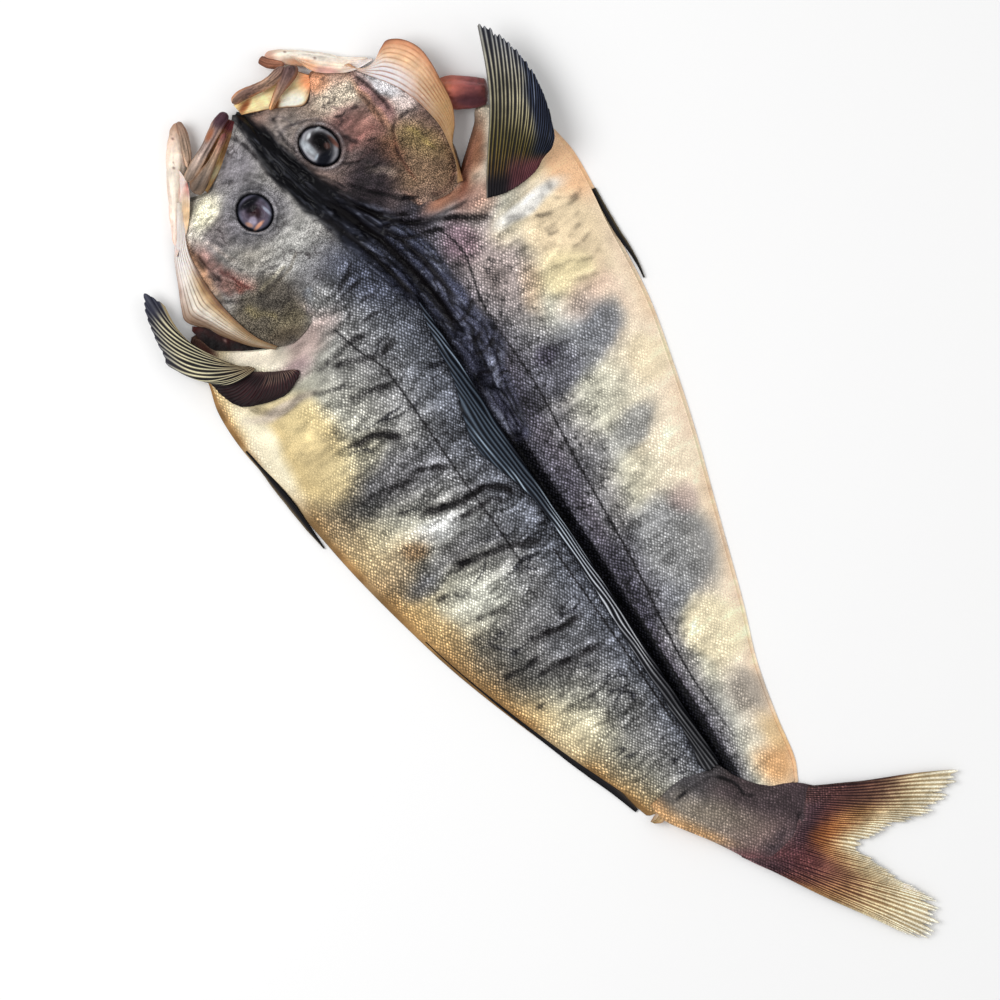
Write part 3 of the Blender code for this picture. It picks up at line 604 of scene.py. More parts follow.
def trunkHeight(plan, side):
    # mm above the floor
    x, y = xy(plan)
    across = rule(body["besideBack"][side] + body["trunkAcross"], halfW)
    height = body["flankHeight"] * rule(body["trunkAlong"], trunkU) * across
    joined = eased(1 - trunkU / 0.10) * (1 - rise(halfW, 0.3, 0.3))
    height = height + (napeHeight - height) * joined
    height = height * (1 - 0.45 * eased(1 - trunkU / 0.035) * beyondNape(side))
    # soft muscle bands, and finer crinkles near the back
    bands = 0.45 * np.sin(y / 4.1 + 0.05 * np.abs(x) + 1.2 * grain(x, y, 25, 1, seed=8))
    bands = bands * eased(halfW / 0.1) * fall(halfW, 0.92, 0.2)
    height = height + bands * (1 if side == "left" else 0.45)
    return height + 0.45 * grain(x, y * 1.6, 9, 3, seed=1) * fall(halfW, 1, 0.1)


def headHeight(plan, side):
    x, y = xy(plan)
    height = body["headHeight"] * rule(body["headAlong"], headU) * rule(body["headAcross"], halfW)
    if side == "right":
        height = height - 1.8 * blob(x, y, 38, 140, 6, 22, -12, 0.8)
    else:
        height = height - 1.6 * blob(x, y, -54, 132, 5, 18, 6, 0.8)
    height = height + 1.6 * blob(x, y, *eyes[side]["centre"], 11, 11, 0, 1)
    edge = 12.2 - 5.0 * rise(halfW, 0.5, 0.5)
    nape = body["nape"][side] / body["halfColumns"]
    target = napeHeight + (edge - napeHeight) * eased((halfW - nape) / 0.2)
    return height + (target - height) * rise(headU, 0.72, 0.28)


darkMiddle = {
    # the black crumpled strip from the snout down the neck, and its half width
    "line": [(-13, 181), (-11.5, 166), (-9.5, 150), (-4.5, 130), (1, 115), (7, 100), (11, 85), (14, 66),
             (15, 45), (11, 28), (9, 8)],
    "width": [(0, 2.6), (0.08, 4.2), (0.2, 6.0), (0.34, 8.0), (0.46, 11), (0.56, 11), (0.68, 9), (0.8, 8.5),
              (0.92, 6), (1, 3)],
    "tone": [(0, (6, 6, 10)), (0.3, (8, 9, 14)), (0.45, (40, 43, 56)), (1, (70, 70, 86))],
    # tone of the painted highlights on the strip
    "light": (176, 182, 202),
}


def middleStrip(x, y):
    # how much a place belongs to the strip, and the distance across and share along it
    across, share = nearLine(x, y, darkMiddle["line"])
    ragged = across + 2.2 * grain(x * 1.4, y * 0.6, 7, 3, seed=24)
    return eased((rule(darkMiddle["width"], share) + 2.0 - np.abs(ragged)) / 4.0), across, share


def stripCreases(x, y, across):
    # long creases that run with the strip, and shorter crumples
    crumples = 0.75 * creases(x * 0.9, y * 0.7, 7, 0.14, 19)
    return np.maximum(creases(across * 1.8, y * 0.42, 7, 0.20, 9), crumples)


def headRelief(x, y):
    relief = 0.35 * grain(x, y, 8, 4, seed=5)
    strip, across, _ = middleStrip(x, y)
    relief += strip * (1.0 * grain(across * 1.7, y * 0.40, 6, 2, seed=9) - 0.9 * stripCreases(x, y, across))
    for eye in eyes.values():
        r = ovalDistance(x, y, **eye)
        relief += 1.3 * bell(r - 1.20, 0.13) - 5.5 * fall(r, 1.08, 0.14)
        relief += 0.25 * np.cos((r - 1.24) * 24) * fall(r, 1.9, 0.4) * rise(r, 1.15, 0.1)
    return relief


headFolds = [
    # gill cover and cheek creases: line, width, depth, strength of painted crease shade
    ([(-57, 146), (-58, 136), (-56.5, 126), (-52, 119), (-46, 115.5)], 1.5, 1.3, 0.35),
    ([(-62, 119), (-54, 114), (-46, 111), (-38, 112), (-29, 115)], 0.8, 0.9, 0.32),
    ([(-48, 128), (-44, 121), (-38, 118), (-30, 117)], 0.7, 0.5, 0.25),
    ([(-50, 158), (-47, 150), (-48, 140), (-45, 131)], 0.9, 0.5, 0.25),
    ([(-34, 158), (-24, 152), (-20, 144)], 0.9, 0.5, 0.3),
    ([(33, 168), (37, 158), (39, 147), (38, 136)], 0.9, 1.0, 0.4),
    ([(30, 164), (33, 154), (34, 142), (31, 134)], 0.9, 0.7, 0.35),
    ([(50, 137), (43, 138), (36, 136.5), (32, 128), (31, 116)], 0.7, 0.8, 0.35),
    ([(16, 152), (18, 144), (22, 138), (30, 136)], 0.9, 0.6, 0.4),
    ([(18, 153), (24, 151), (30, 152)], 0.8, 0.6, 0.45),
    ([(6, 130), (13, 121), (22, 112), (30, 107)], 0.8, 1.0, 0.7),
    ([(2, 128), (8, 116), (16, 108), (24, 104)], 0.9, 1.2, 0.8),
    ([(0, 136), (6, 124), (12, 115)], 0.8, 0.9, 0.7),
    ([(10, 136), (18, 132), (28, 134)], 0.6, 0.5, 0.4),
    ([(12, 131), (20, 127), (28, 127)], 0.6, 0.5, 0.35),
    ([(-2, 140), (4, 132), (8, 124), (14, 117)], 0.6, 0.7, 0.6),
    ([(-20, 172), (-16, 160), (-16, 148)], 0.8, 0.6, 0.5),
    ([(-1, 170), (-3, 158), (-1, 148)], 0.8, 0.6, 0.5),
]


flankPaint = {
    # tones from the back (0) to the belly edge (1), on the pale and on the dark bands
    "leftPale": [(0, (82, 85, 95)), (0.15, (108, 111, 119)), (0.3, (130, 130, 131)),
                 (0.45, (160, 159, 152)), (0.6, (190, 186, 166)), (0.78, (210, 192, 152)),
                 (0.93, (204, 172, 122)), (0.985, (158, 122, 78)), (1, (128, 96, 58))],
    "leftDark": [(0, (76, 79, 88)), (0.15, (104, 107, 116)), (0.3, (112, 113, 118)), (0.5, (102, 101, 103)),
                 (0.7, (84, 82, 80)), (0.86, (112, 98, 80)), (0.95, (150, 120, 82)), (1, (125, 96, 60))],
    "rightPale": [(0, (76, 74, 84)), (0.1, (88, 86, 96)), (0.2, (94, 90, 98)), (0.27, (116, 114, 118)),
                  (0.38, (152, 149, 145)), (0.52, (206, 201, 180)), (0.66, (240, 227, 198)),
                  (0.85, (255, 240, 214)), (1, (255, 230, 202))],
    "rightDark": [(0, (66, 64, 74)), (0.12, (76, 74, 84)), (0.22, (72, 70, 80)), (0.3, (100, 99, 106)),
                  (0.5, (142, 143, 147)), (0.68, (162, 160, 158)), (0.8, (214, 200, 180)),
                  (0.9, (250, 232, 206)), (1, (250, 222, 190))],
    # how dark the bands are along the body
    "leftBands": [(-152, 0.5), (-133, 0.5), (-119, 0.35), (-108, 0), (-94, 0.1), (-84, 0.7), (-70, 0.85),
                  (-57, 0.65), (-48, 0.15), (-38, 0), (-30, 0.15), (-24, 0.8), (-18, 0.7), (-11, 0.1),
                  (-4, 0.05), (4, 0.35), (13, 0.95), (22, 0.9), (30, 0.3), (40, 0), (75, 0.05), (112, 0.3)],
    "rightBands": [(-170, 0.1), (-150, 0.3), (-136, 0.5), (-124, 0.45), (-116, 0.05), (-100, -0.1),
                   (-93, 0.1), (-86, 0.9), (-66, 1.1), (-54, 0.9), (-46, 0.2), (-38, -0.05), (-30, 0.05),
                   (-24, 0.45), (-19, 0.5), (-14, 0.1), (-6, 0.0), (3, 0.1), (9, 0.9), (18, 1.1), (26, 0.8),
                   (34, 0.25), (48, 0.15), (70, 0.2), (124, 0.4)],
    "bandSlope": 0.10,
    "lines": {
        "left": [
            [(-29, 83), (-24.5, 66), (-21, 58), (-20.7, 7), (-20, -20), (-20.7, -50)],
            [(-6.5, -38), (-6, -80), (-6, -134)],
        ],
        "right": [
            [(28, 93), (31, 79), (25.3, 57), (24.7, 20), (21, -13), (16.7, -60), (12.7, -87), (10, -113),
             (11, -150)],
            [(9, 30), (8, 0), (7, -40), (6, -80), (5, -120), (5, -145)],
        ],
    },
    "dabs": [
        # tone, centre, radii, turn, softness, strength
        ((208, 186, 136), (-65, 50), (15, 25), 0, 0.35, 0.9),
        ((208, 209, 208), (-36, -6), (14, 5.5), -8, 0.6, 0.8),
        ((84, 86, 96), (-57, -22), (8, 4.5), 0, 0.6, 0.6),
        ((70, 74, 90), (-6, 93), (11, 13), 20, 0.6, 0.75),
        ((244, 236, 210), (-79, 58), (5.5, 24), 0, 0.5, 0.85),
        ((228, 208, 156), (-59, 61), (8, 10), 20, 0.6, 0.6),
        ((186, 160, 124), (-62, -7), (15, 7), 5, 0.6, 0.55),
        ((128, 98, 68), (-53, -7), (6, 3.2), -20, 0.6, 0.65),
        ((196, 197, 186), (-42, -38), (17, 9), -12, 0.6, 0.6),
        ((126, 126, 128), (-23, -42), (8, 7), 0, 0.6, 0.6),
        ((128, 130, 136), (-23, -70), (9, 6), 0, 0.6, 0.6),
        ((104, 104, 104), (-18, -106), (9, 9), 0, 0.6, 0.65),
        ((212, 203, 172), (-42, -105), (13, 11), -15, 0.6, 0.55),
        ((178, 142, 92), (-66, -36), (6, 16), 20, 0.6, 0.5),
        ((168, 150, 120), (-72, 12), (5, 16), 5, 0.6, 0.5),
        ((206, 196, 160), (-50, 36), (12, 7), 10, 0.7, 0.4),
        ((168, 152, 148), (39, 70), (14, 22), 0, 0.6, 0.8),
        ((124, 96, 110), (31, 84), (7, 9), 0, 0.6, 0.6),
        ((236, 214, 178), (69, 62), (15, 22), 0, 0.4, 0.95),
        ((244, 228, 180), (60, 50), (10, 9), 0, 0.5, 0.8),
        ((206, 168, 124), (47, 52), (4.5, 9), -20, 0.7, 0.4),
        ((226, 190, 172), (73, 34), (3.5, 12), 0, 0.8, 0.3),
        ((138, 140, 146), (59, 24), (11, 8), 22, 0.4, 0.9),
        ((112, 112, 122), (34, 20), (12, 9), 20, 0.5, 0.75),
        ((78, 72, 90), (34, 27), (5, 4), 0, 0.6, 0.6),
        ((196, 150, 138), (68, 37), (4, 6), -30, 0.9, 0.22),
        ((250, 232, 198), (68, 3), (8, 9), -20, 0.35, 0.95),
        ((196, 194, 178), (45, 0), (13, 11), 0, 0.5, 0.7),
        ((160, 160, 158), (50, -15), (10, 5.5), 22, 0.5, 0.8),
        ((248, 232, 204), (56, -37), (8, 10), 0, 0.4, 0.85),
        ((206, 200, 178), (42, -33), (6, 7), 0, 0.6, 0.6),
        ((38, 36, 42), (19, 101), (11, 6), 10, 0.6, 0.6),
        ((150, 150, 150), (36, -64), (15, 19), 10, 0.35, 0.9),
        ((166, 142, 140), (49, -52), (5, 6), 0, 0.6, 0.5),
        ((250, 236, 200), (29.5, -101), (12, 14), 10, 0.3, 0.95),
        ((150, 142, 134), (24, -129), (7.5, 9), 0, 0.5, 0.75),
        ((252, 202, 156), (84, 86), (8, 15), 0, 0.5, 0.9),
        ((198, 160, 150), (60, 38), (9, 5), 20, 0.7, 0.35),
        ((202, 190, 160), (52, 78), (9, 6), 20, 0.6, 0.6),
        ((222, 168, 114), (19, -160), (9, 9), 0, 0.6, 0.85),
        ((214, 176, 120), (25, -148), (5, 9), 15, 0.6, 0.6),
        ((170, 148, 142), (-42, 86), (14, 5), 10, 0.6, 0.8),
        ((242, 232, 212), (-61, 92), (13, 4.5), -33, 0.5, 0.95),
        ((150, 122, 128), (-50, 80), (7, 4), 0, 0.6, 0.6),
        ((204, 190, 176), (-64, 70), (14, 2.6), -8, 0.5, 0.85),
        ((250, 247, 240), (64, 81), (15, 3.8), 3, 0.4, 1.0),
        ((248, 222, 176), (74, 92), (5, 3), 30, 0.6, 0.6),
        ((56, 32, 28), (-78.5, 108), (4, 7), 0, 0.5, 0.95),
        ((172, 118, 92), (38, 101), (10, 3.4), 0, 0.6, 0.85),
        ((158, 108, 82), (56, 110), (5, 15), -48, 0.5, 0.95),
        ((112, 66, 52), (50, 105), (1.4, 11), -50, 0.7, 0.7),
        ((214, 196, 176), (52, 99), (4, 8), -35, 0.6, 0.7),
        ((150, 106, 92), (45, 96), (9, 4.5), 15, 0.6, 0.6),
        ((200, 160, 140), (48, 91), (6, 4), 0, 0.6, 0.5),
    ],
}


skinBare = {
    # places without scales: centre, radii, turn, softness
    "left": [(-58, 93, 18, 7, -30, 0.5), (-60, 70, 20, 6, 0, 0.6), (-44, 84, 12, 9, 0, 0.7),
             (-74, 60, 9, 26, 0, 0.8), (-78, 106, 6, 12, 0, 0.5), (-66, 50, 10, 18, 0, 0.7)],
    "right": [(60, 108, 26, 14, -40, 0.4), (40, 100, 16, 6, 0, 0.5), (66, 80, 18, 6, 0, 0.5),
              (80, 80, 12, 24, 0, 0.6), (70, 60, 14, 16, 0, 0.8)],
}


def skinSmooth(x, y, side):
    # 0 on the collar and the smooth skin round the fin, 1 elsewhere
    kept = np.ones(x.shape)
    for bare in skinBare[side]:
        kept = kept * (1 - blob(x, y, *bare))
    return kept


def flankColour(plan, side):
    x, y = xy(plan)
    warpX = x + 3.5 * grain(x, y, 16, 3, seed=11)
    warpY = y + 3.5 * grain(x, y, 16, 3, seed=12)
    w = np.clip(halfW + 0.035 * grain(x, y, 12, 3, seed=13), 0, 1)
    band = rule(flankPaint[side + "Bands"], warpY - flankPaint["bandSlope"] * np.abs(x))
    band = np.clip(band, 0, 1)[..., None]
    tone = rule(flankPaint[side + "Pale"], w) * (1 - band) + rule(flankPaint[side + "Dark"], w) * band
    tone = dabAll(tone, warpX, warpY, flankPaint["dabs"])
    # cloudy shading, deeper towards the back
    deep = fall(halfW, 0.95, 0.5)[..., None]
    clouds = grain(x, y * 1.5, 7, 3, seed=14) * 0.8 + 0.5 * grain(x * 0.7, y * 1.8, 3.5, 2, seed=15)
    tone = tone * (1 + (0.08 + 0.26 * deep) * clouds[..., None])
    # painted light and shade of wrinkles across the left flank, with painted shade in dark crease lines
    # there; finer and weaker on the right
    smooth = skinSmooth(x, y, side)
    patchy = 0.35 + 0.65 * eased((grain(x, y, 20, 2, seed=18) + 0.15) / 0.35)
    wavyX, wavyY = x + 3 * grain(x, y, 14, 2, seed=19), y + 3 * grain(x, y, 14, 2, seed=27)
    if side == "left":
        finer = slopeLight(wavyX * 0.5, wavyY, 3.5, 20, 0.4)
        slope = slopeLight(wavyX * 0.40, wavyY * 0.8, 7.5, 16) + 0.35 * finer
        tone = tone * (1 + 0.35 * deep[..., 0] * patchy * smooth * slope)[..., None]
        strength = 0.8 * deep[..., 0] * rise(grain(x, y, 16, 2, seed=46), 0.02, 0.25) * smooth
        tone = dab(tone, (26, 26, 32), strength * creases(wavyX * 0.30, wavyY * 0.9, 8, 0.07, 16))
    else:
        slope = slopeLight(wavyX * 0.6, wavyY, 6.0, 16) * (0.3 + rise(y, 45, 20))
        tone = tone * (1 + 0.16 * patchy * smooth * slope)[..., None]
    # pepper specks near the back
    specks = rise(grain(x, y, 1.7, 1, seed=17), 0.42, 0.25) * fall(halfW, 0.55, 0.3)
    tone = dab(tone, (14, 13, 15), (0.45 if side == "right" else 0.25) * specks * fall(y, 95, 30))
    # dark lateral lines, and the black groove right of the fin
    for line in flankPaint["lines"][side]:
        distance, share = nearLine(x, y, line)
        tone = dab(tone, (20, 18, 20), 0.9 * bell(distance, 0.42) * fall(share, 1, 0.2))
    back, _ = nearLine(x, y, body["backLine"])
    tone = dab(tone, (12, 12, 16), 0.97 * np.exp(-((back - 2.6) / 2.7) ** 4) * fall(y, 78, 20))
    return tone


headPaint = {
    # where the skin is grainy: centre, radii, how much
    "pebbly": [(-47, 104, 17, 13, 0.75), (-22, 110, 16, 14, 0.5), (38, 119, 15, 19, 0.8),
               (25, 160, 12, 8, 0.6), (14, 126, 12, 12, 0.6), (-46, 151, 9, 7, 0.35)],
    "left": (144, 141, 138),
    "right": (132, 110, 102),
    "dabs": [
        # tone, centre, radii, turn, softness, strength
        ((128, 124, 130), (-25, 160), (10, 8), 30, 0.6, 0.8),
        ((242, 236, 206), (-46, 151), (8, 6), 40, 0.6, 0.95),
        ((118, 111, 112), (-46, 140), (9, 6), 0, 0.6, 0.8),
        ((122, 117, 108), (-35, 126), (12, 7), 10, 0.7, 0.75),
        ((178, 177, 173), (-22, 116), (13, 16), 0, 0.7, 0.8),
        ((186, 184, 178), (-34, 112), (7, 4), 0, 0.8, 0.35),
        ((84, 77, 66), (-47, 104), (17, 12.5), -8, 0.35, 0.92),
        ((70, 66, 62), (-44, 107), (8, 6), 0, 0.7, 0.6),
        ((104, 96, 74), (-40, 97), (9, 5), 10, 0.7, 0.5),
        ((74, 64, 52), (-48, 92), (11, 3.5), -8, 0.6, 0.6),
        ((216, 208, 194), (-57.5, 150), (4, 10), 20, 0.5, 0.8),
        ((190, 140, 104), (-59.5, 136), (2.6, 14), 0, 0.6, 0.8),
        ((142, 112, 106), (-55, 131), (3.2, 12), 4, 0.6, 0.7),
        ((92, 44, 36), (-50, 118.5), (2.2, 2.6), 0, 0.5, 0.8),
        ((136, 92, 80), (-54, 122), (4, 3), -40, 0.6, 0.5),
        ((112, 84, 76), (-48, 119), (5, 3.0), -30, 0.7, 0.5),
        ((110, 108, 116), (-29, 139), (13, 13), 0, 0.3, 0.6),
        ((92, 92, 102), (-14, 104), (16, 9), 0, 0.8, 0.7),
        ((156, 144, 136), (3, 161), (10, 7), -30, 0.6, 0.9),
        ((150, 144, 142), (-3, 154), (4, 9), 0, 0.7, 0.7),
        ((208, 194, 174), (25, 160), (12, 8), 0, 0.6, 0.95),
        ((196, 160, 140), (30, 168), (8, 5), 0, 0.6, 0.8),
        ((222, 158, 120), (21.5, 170), (4.5, 5.5), -20, 0.6, 0.85),
        ((122, 88, 84), (20, 146), (8, 8), 20, 0.6, 0.85),
        ((150, 108, 98), (28, 140), (8, 8), 0, 0.6, 0.8),
        ((216, 216, 220), (43, 153), (3.8, 12), 22, 0.5, 0.95),
        ((212, 196, 190), (45, 142), (5, 5), 0, 0.6, 0.8),
        ((160, 122, 120), (36.5, 150), (3.0, 14), 6, 0.5, 0.85),
        ((176, 130, 100), (33.5, 150), (1.8, 12), 4, 0.6, 0.6),
        ((128, 104, 82), (38, 119), (14, 17), 0, 0.35, 0.9),
        ((136, 120, 74), (42, 127), (5, 10), 30, 0.8, 0.5),
        ((156, 112, 84), (30, 130), (4, 5), 20, 0.7, 0.85),
        ((72, 52, 46), (25, 128), (7, 9), 0, 0.7, 0.6),
        ((110, 90, 80), (30, 108), (8, 4), -10, 0.7, 0.5),
        ((118, 104, 98), (8, 136), (10, 6), 0, 0.6, 0.4),
        ((40, 35, 39), (14, 121), (11, 16), -35, 0.6, 0.95),
        ((84, 78, 80), (8, 146), (9.5, 11), 18, 0.25, 0.5),
    ],
    "lines": [
        # tone, line, half width, strength
        ((186, 176, 166), [(3, 164), (4.5, 158), (5, 152), (7, 146)], 1.0, 0.7),
        ((128, 92, 84), [(-56.5, 143), (-55, 133), (-51.5, 126), (-48, 119), (-45, 112)], 2.0, 0.6),
        ((64, 26, 24), [(-53.5, 130), (-50.5, 122), (-46.5, 115)], 0.8, 0.8),
        ((60, 40, 36), [(-57.5, 141), (-56.5, 131), (-52.5, 122), (-48, 115)], 0.5, 0.5),
        ((214, 196, 184), [(-52, 143), (-49.5, 134), (-46, 126)], 1.0, 0.45),
        ((70, 62, 50), [(-46, 110), (-38, 111), (-30, 113), (-23, 118)], 0.7, 0.55),
        ((176, 166, 132), [(-46, 112), (-38, 113.5), (-30, 115)], 0.8, 0.4),
        ((150, 136, 84), [(-54, 112), (-50, 105), (-44, 100)], 2.0, 0.4),
        ((176, 188, 206), [(-33.5, 93.5), (-29.5, 98.5), (-28, 104)], 1.3, 0.75),
        ((34, 38, 52), [(-35.5, 93.5), (-31.5, 98), (-30, 104)], 0.8, 0.6),
        ((96, 58, 44), [(37, 139), (33.5, 131), (31.5, 122), (31, 112)], 0.8, 0.6),
        ((56, 38, 34), [(31, 107), (38, 104.5), (45.5, 108), (50.5, 117)], 1.0, 0.55),
        ((150, 136, 72), [(39, 135), (43, 128), (45.5, 119)], 1.0, 0.3),
        ((150, 100, 94), [(14, 137.5), (22, 140), (31, 141)], 1.3, 0.5),
        ((66, 46, 46), [(14, 132), (22, 133.5), (30, 134)], 0.6, 0.5),
        ((186, 168, 148), [(16, 129), (22, 125), (28, 120)], 1.6, 0.35),
        ((62, 44, 46), [(19, 158), (24, 153), (31, 151)], 0.7, 0.5),
        ((30, 28, 34), [(-6, 158), (-1, 160), (7, 159), (14, 154)], 0.8, 0.5),
        ((56, 50, 56), [(-4, 168), (2, 164), (4, 158)], 0.6, 0.4),
        ((206, 192, 176), [(-8, 162), (-4, 156), (-3, 148)], 1.2, 0.35),
    ],
}


def headColour(plan, side):
    x, y = xy(plan)
    warpX = x + 2.0 * grain(x, y, 9, 3, seed=21)
    warpY = y + 2.0 * grain(x, y, 9, 3, seed=22)
    tone = np.zeros((*x.shape, 3)) + headPaint[side]
    tone = dabAll(tone, warpX, warpY, headPaint["dabs"])
    wander = 1.1 * grain(x, y, 6, 3, seed=30)
    for colour, line, half, strength in headPaint["lines"]:
        distance, share = nearLine(x + wander, y + wander, line)
        broken = 0.6 + 0.4 * eased(0.5 + grain(x, y, 3, 2, seed=39))
        run = eased(share / 0.15) * fall(share, 1, 0.15) * broken
        tone = dab(tone, colour, strength * run * bell(distance, half))
    for name, eye in eyes.items():
        r = ovalDistance(x, y, **eye) + 0.05 * grain(x, y, 3, 2, seed=48)
        broken = 0.15 + 0.85 * eased(0.5 + 1.6 * grain(x, y, 4, 2, seed=49))
        tone = dab(tone, (150, 147, 150), 0.6 * bell(r - 1.13, 0.05) * broken)
        much = 0.8 if name == "left" else 0.4
        tone = dab(tone, (22, 24, 33), much * bell(r - 1.23, 0.03) * broken)
        tone = dab(tone, (18, 19, 25), 0.8 * bell(r - 1.01, 0.03))
    # painted light and shade of fine crumples, and painted shade in their crease lines
    swirl = y + 2.5 * grain(x, y, 14, 2, seed=28)
    streaks = grain(x * 0.5, swirl * 1.6, 4, 3, seed=25)
    slope = slopeLight(x + 2 * grain(x, y, 8, 2, seed=28), swirl, 4.0, 25, 0.4)
    lines = creases(x * 0.8, swirl, 5.5, 0.07, 34) * rise(grain(x, y, 12, 2, seed=40), 0.02, 0.2)
    tone = tone * (1 + 0.22 * grain(x, y, 5, 4, seed=23) + 0.16 * streaks + 0.22 * slope)[..., None]
    return dab(tone, (34, 28, 30), 0.55 * lines)


def blackened(tone, x, y):
    # the strip's black, with painted highlights on its ridges and painted shade in its creases
    strip, across, share = middleStrip(x, y)
    black = rule(darkMiddle["tone"], share)
    tone = tone + (black - tone) * (0.95 * strip)[..., None]
    ridges = rise(grain(across * 1.7, y * 0.40, 6, 2, seed=9), 0.18, 0.18)
    back = rise(share, 0.24, 0.2)
    glints = ridges * eased((grain(x * 1.2, y * 0.6, 6, 2, seed=26) + 0.05) / 0.35) * (0.16 + 0.84 * back)
    fine = rise(grain(across * 2.4, y * 1.3, 2.6, 2, seed=29), 0.26, 0.2) * back
    tangled = across * 3.4 + 0.5 * grain(x, y, 4, 2, seed=51)
    threads = rise(grain(tangled, y * 0.16, 2.4, 2, seed=33), 0.2, 0.2)
    threads = threads * (0.25 + 0.75 * eased(0.5 + 1.5 * grain(x, y, 9, 2, seed=45)))
    caught = 0.42 * glints + 0.28 * fine + (0.18 + 0.24 * back) * threads
    tone = dab(tone, darkMiddle["light"], strip * np.clip(caught, 0, 0.64))
    # painted shade in the strip's creases
    return dab(tone, (7, 7, 11), 0.95 * strip * stripCreases(x, y, across))


def ringOut(points, paint, detail, faces, loop):
    # rounds the open edge over and takes it down to the resting plane
    ring = points[loop]
    along = np.gradient(ring, axis=0)
    outward = np.stack([along[:, 1], -along[:, 0]], axis=1)
    outward /= np.linalg.norm(outward, axis=1)[:, None] + 1e-9
    previous = loop
    for out, drop in body["rim"]:
        lower = ring.copy()
        lower[:, :2] += outward * out
        lower[:, 2] = np.maximum(ring[:, 2] - drop, body["rimLowest"])
        current = np.arange(len(points), len(points) + len(loop))
        points = np.concatenate([points, lower])
        # painted light on the rim's upper bends and painted shade on its drop to the floor
        paint = np.concatenate([paint, paint[loop] * (1.05 if drop < 5 else 0.95)])
        detail = np.concatenate([detail, detail[loop] * 0.3])
        faces.append(np.stack([previous[:-1], current[:-1], current[1:], previous[1:]], axis=-1))
        previous = current
    return points, paint, detail


def makeSkin(side):
    # head and flank share the points of the nape, so they are one surface
    headPlan, trunkPlan = halfPlans(side)
    x, y = xy(headPlan)
    tx, ty = xy(trunkPlan)
    folded, headCreaseShade, headLit = foldRelief(headFolds + wrinkles, x, y, 1.3, 3)
    headZ = headHeight(headPlan, side) + headRelief(x, y) + folded
    folded, trunkCreaseShade, trunkLit = foldRelief(headFolds + wrinkles, tx, ty, 1.3, 3)
    strip, across, _ = middleStrip(tx, ty)
    trunkZ = trunkHeight(trunkPlan, side) + folded * fall(halfW, 1, 0.05)
    trunkZ = trunkZ + strip * (1.0 * grain(across * 1.7, ty * 0.40, 6, 2, seed=9)
                               - 0.9 * stripCreases(tx, ty, across)) * eased(halfW / 0.04)
    headTone, trunkTone = headColour(headPlan, side), flankColour(trunkPlan, side)
    # the neck's tones and heights run over into each other
    into = rise(headU, 0.80, 0.20) * (1 - beyondNape(side))
    headTone = headTone * (1 - into[..., None]) + trunkTone[0][None] * into[..., None]
    headZ = headZ + (trunkZ[0] - headZ[-1]) * rise(headU, 0.85, 0.15) * (1 - beyondNape(side))
    # painted shade in the folds' creases and painted highlight on their lips
    headTone = dab(blackened(headTone, x, y), (14, 12, 14), headCreaseShade) * (1 + 0.45 * headLit[..., None])
    trunkTone = dab(blackened(trunkTone, tx, ty), (14, 12, 14), trunkCreaseShade) * (1 + 0.5 * trunkLit[..., None])
    rows, columns = headZ.shape
    nape = body["nape"][side]
    headIndex, trunkIndex = numbered(rows, columns), numbered(*trunkZ.shape, start=rows * columns)
    trunkIndex[0, :nape + 1] = headIndex[-1, :nape + 1]
    points = np.concatenate([np.dstack([headPlan, headZ]).reshape(-1, 3),
                             np.dstack([trunkPlan, trunkZ]).reshape(-1, 3)])
    points[:, 2] = np.maximum(points[:, 2], body["lowest"])
    paint = np.concatenate([headTone.reshape(-1, 3), trunkTone.reshape(-1, 3)])
    # scales fade on the strip, the creases, the belly margin, the collar and the head
    headStrip, _, _ = middleStrip(x, y)
    headScales = 0.05 + 0.5 * into * (1 - headStrip)
    pebbles = 0.28 + 0.3 * grain(x, y, 9, 2, seed=50)
    for centreX, centreY, across, along, much in headPaint["pebbly"]:
        pebbles = pebbles + (much - pebbles) * blob(x, y, centreX, centreY, across, along, 0, 0.6)
    bright = np.clip((trunkTone.mean(axis=-1) - 60) / 140, 0, 1)
    trunkScales = 0.95 - (0.75 if side == "right" else 0.58) * bright
    trunkScales = trunkScales * (1 - 0.3 * trunkCreaseShade) * (1 - 0.7 * strip)
    trunkScales = trunkScales * eased((1 - halfW) / (0.28 if side == "right" else 0.05)) + 0.03
    trunkScales = trunkScales * skinSmooth(tx, ty, side)
    headDetail = np.dstack([headScales, pebbles * (1 - headStrip), 0.4 + 0.5 * headStrip])
    trunkDetail = np.dstack([trunkScales, 0.12 + 0.18 * (1 - bright) + 0.25 * strip, 0.35 + 0.5 * strip])
    detail = np.concatenate([headDetail.reshape(-1, 3), trunkDetail.reshape(-1, 3)])
    loop = np.concatenate([headIndex[0], headIndex[1:, -1], headIndex[-1, -2:nape:-1], trunkIndex[0, nape:],
                           trunkIndex[1:, -1], trunkIndex[-1, -2::-1]])
    faces = [quads(headIndex), quads(trunkIndex)]
    if side == "left":
        loop = loop[::-1]
        faces = [part[:, ::-1] for part in faces]
    points, paint, detail = ringOut(points, paint, detail, faces, loop)
    faces = np.concatenate(faces)
    used = np.unique(faces)
    renumber = np.zeros(len(points), int)
    renumber[used] = np.arange(len(used))
    faces = renumber[faces].tolist()
    makePiece("skin_" + side, points[used], faces, paint[used], detail[used], skin, ["body"])


makeSkin("left")
makeSkin("right")
print("skin done")


# surfaces under the skin: meat side of the flanks, inside of the head, gill cavity

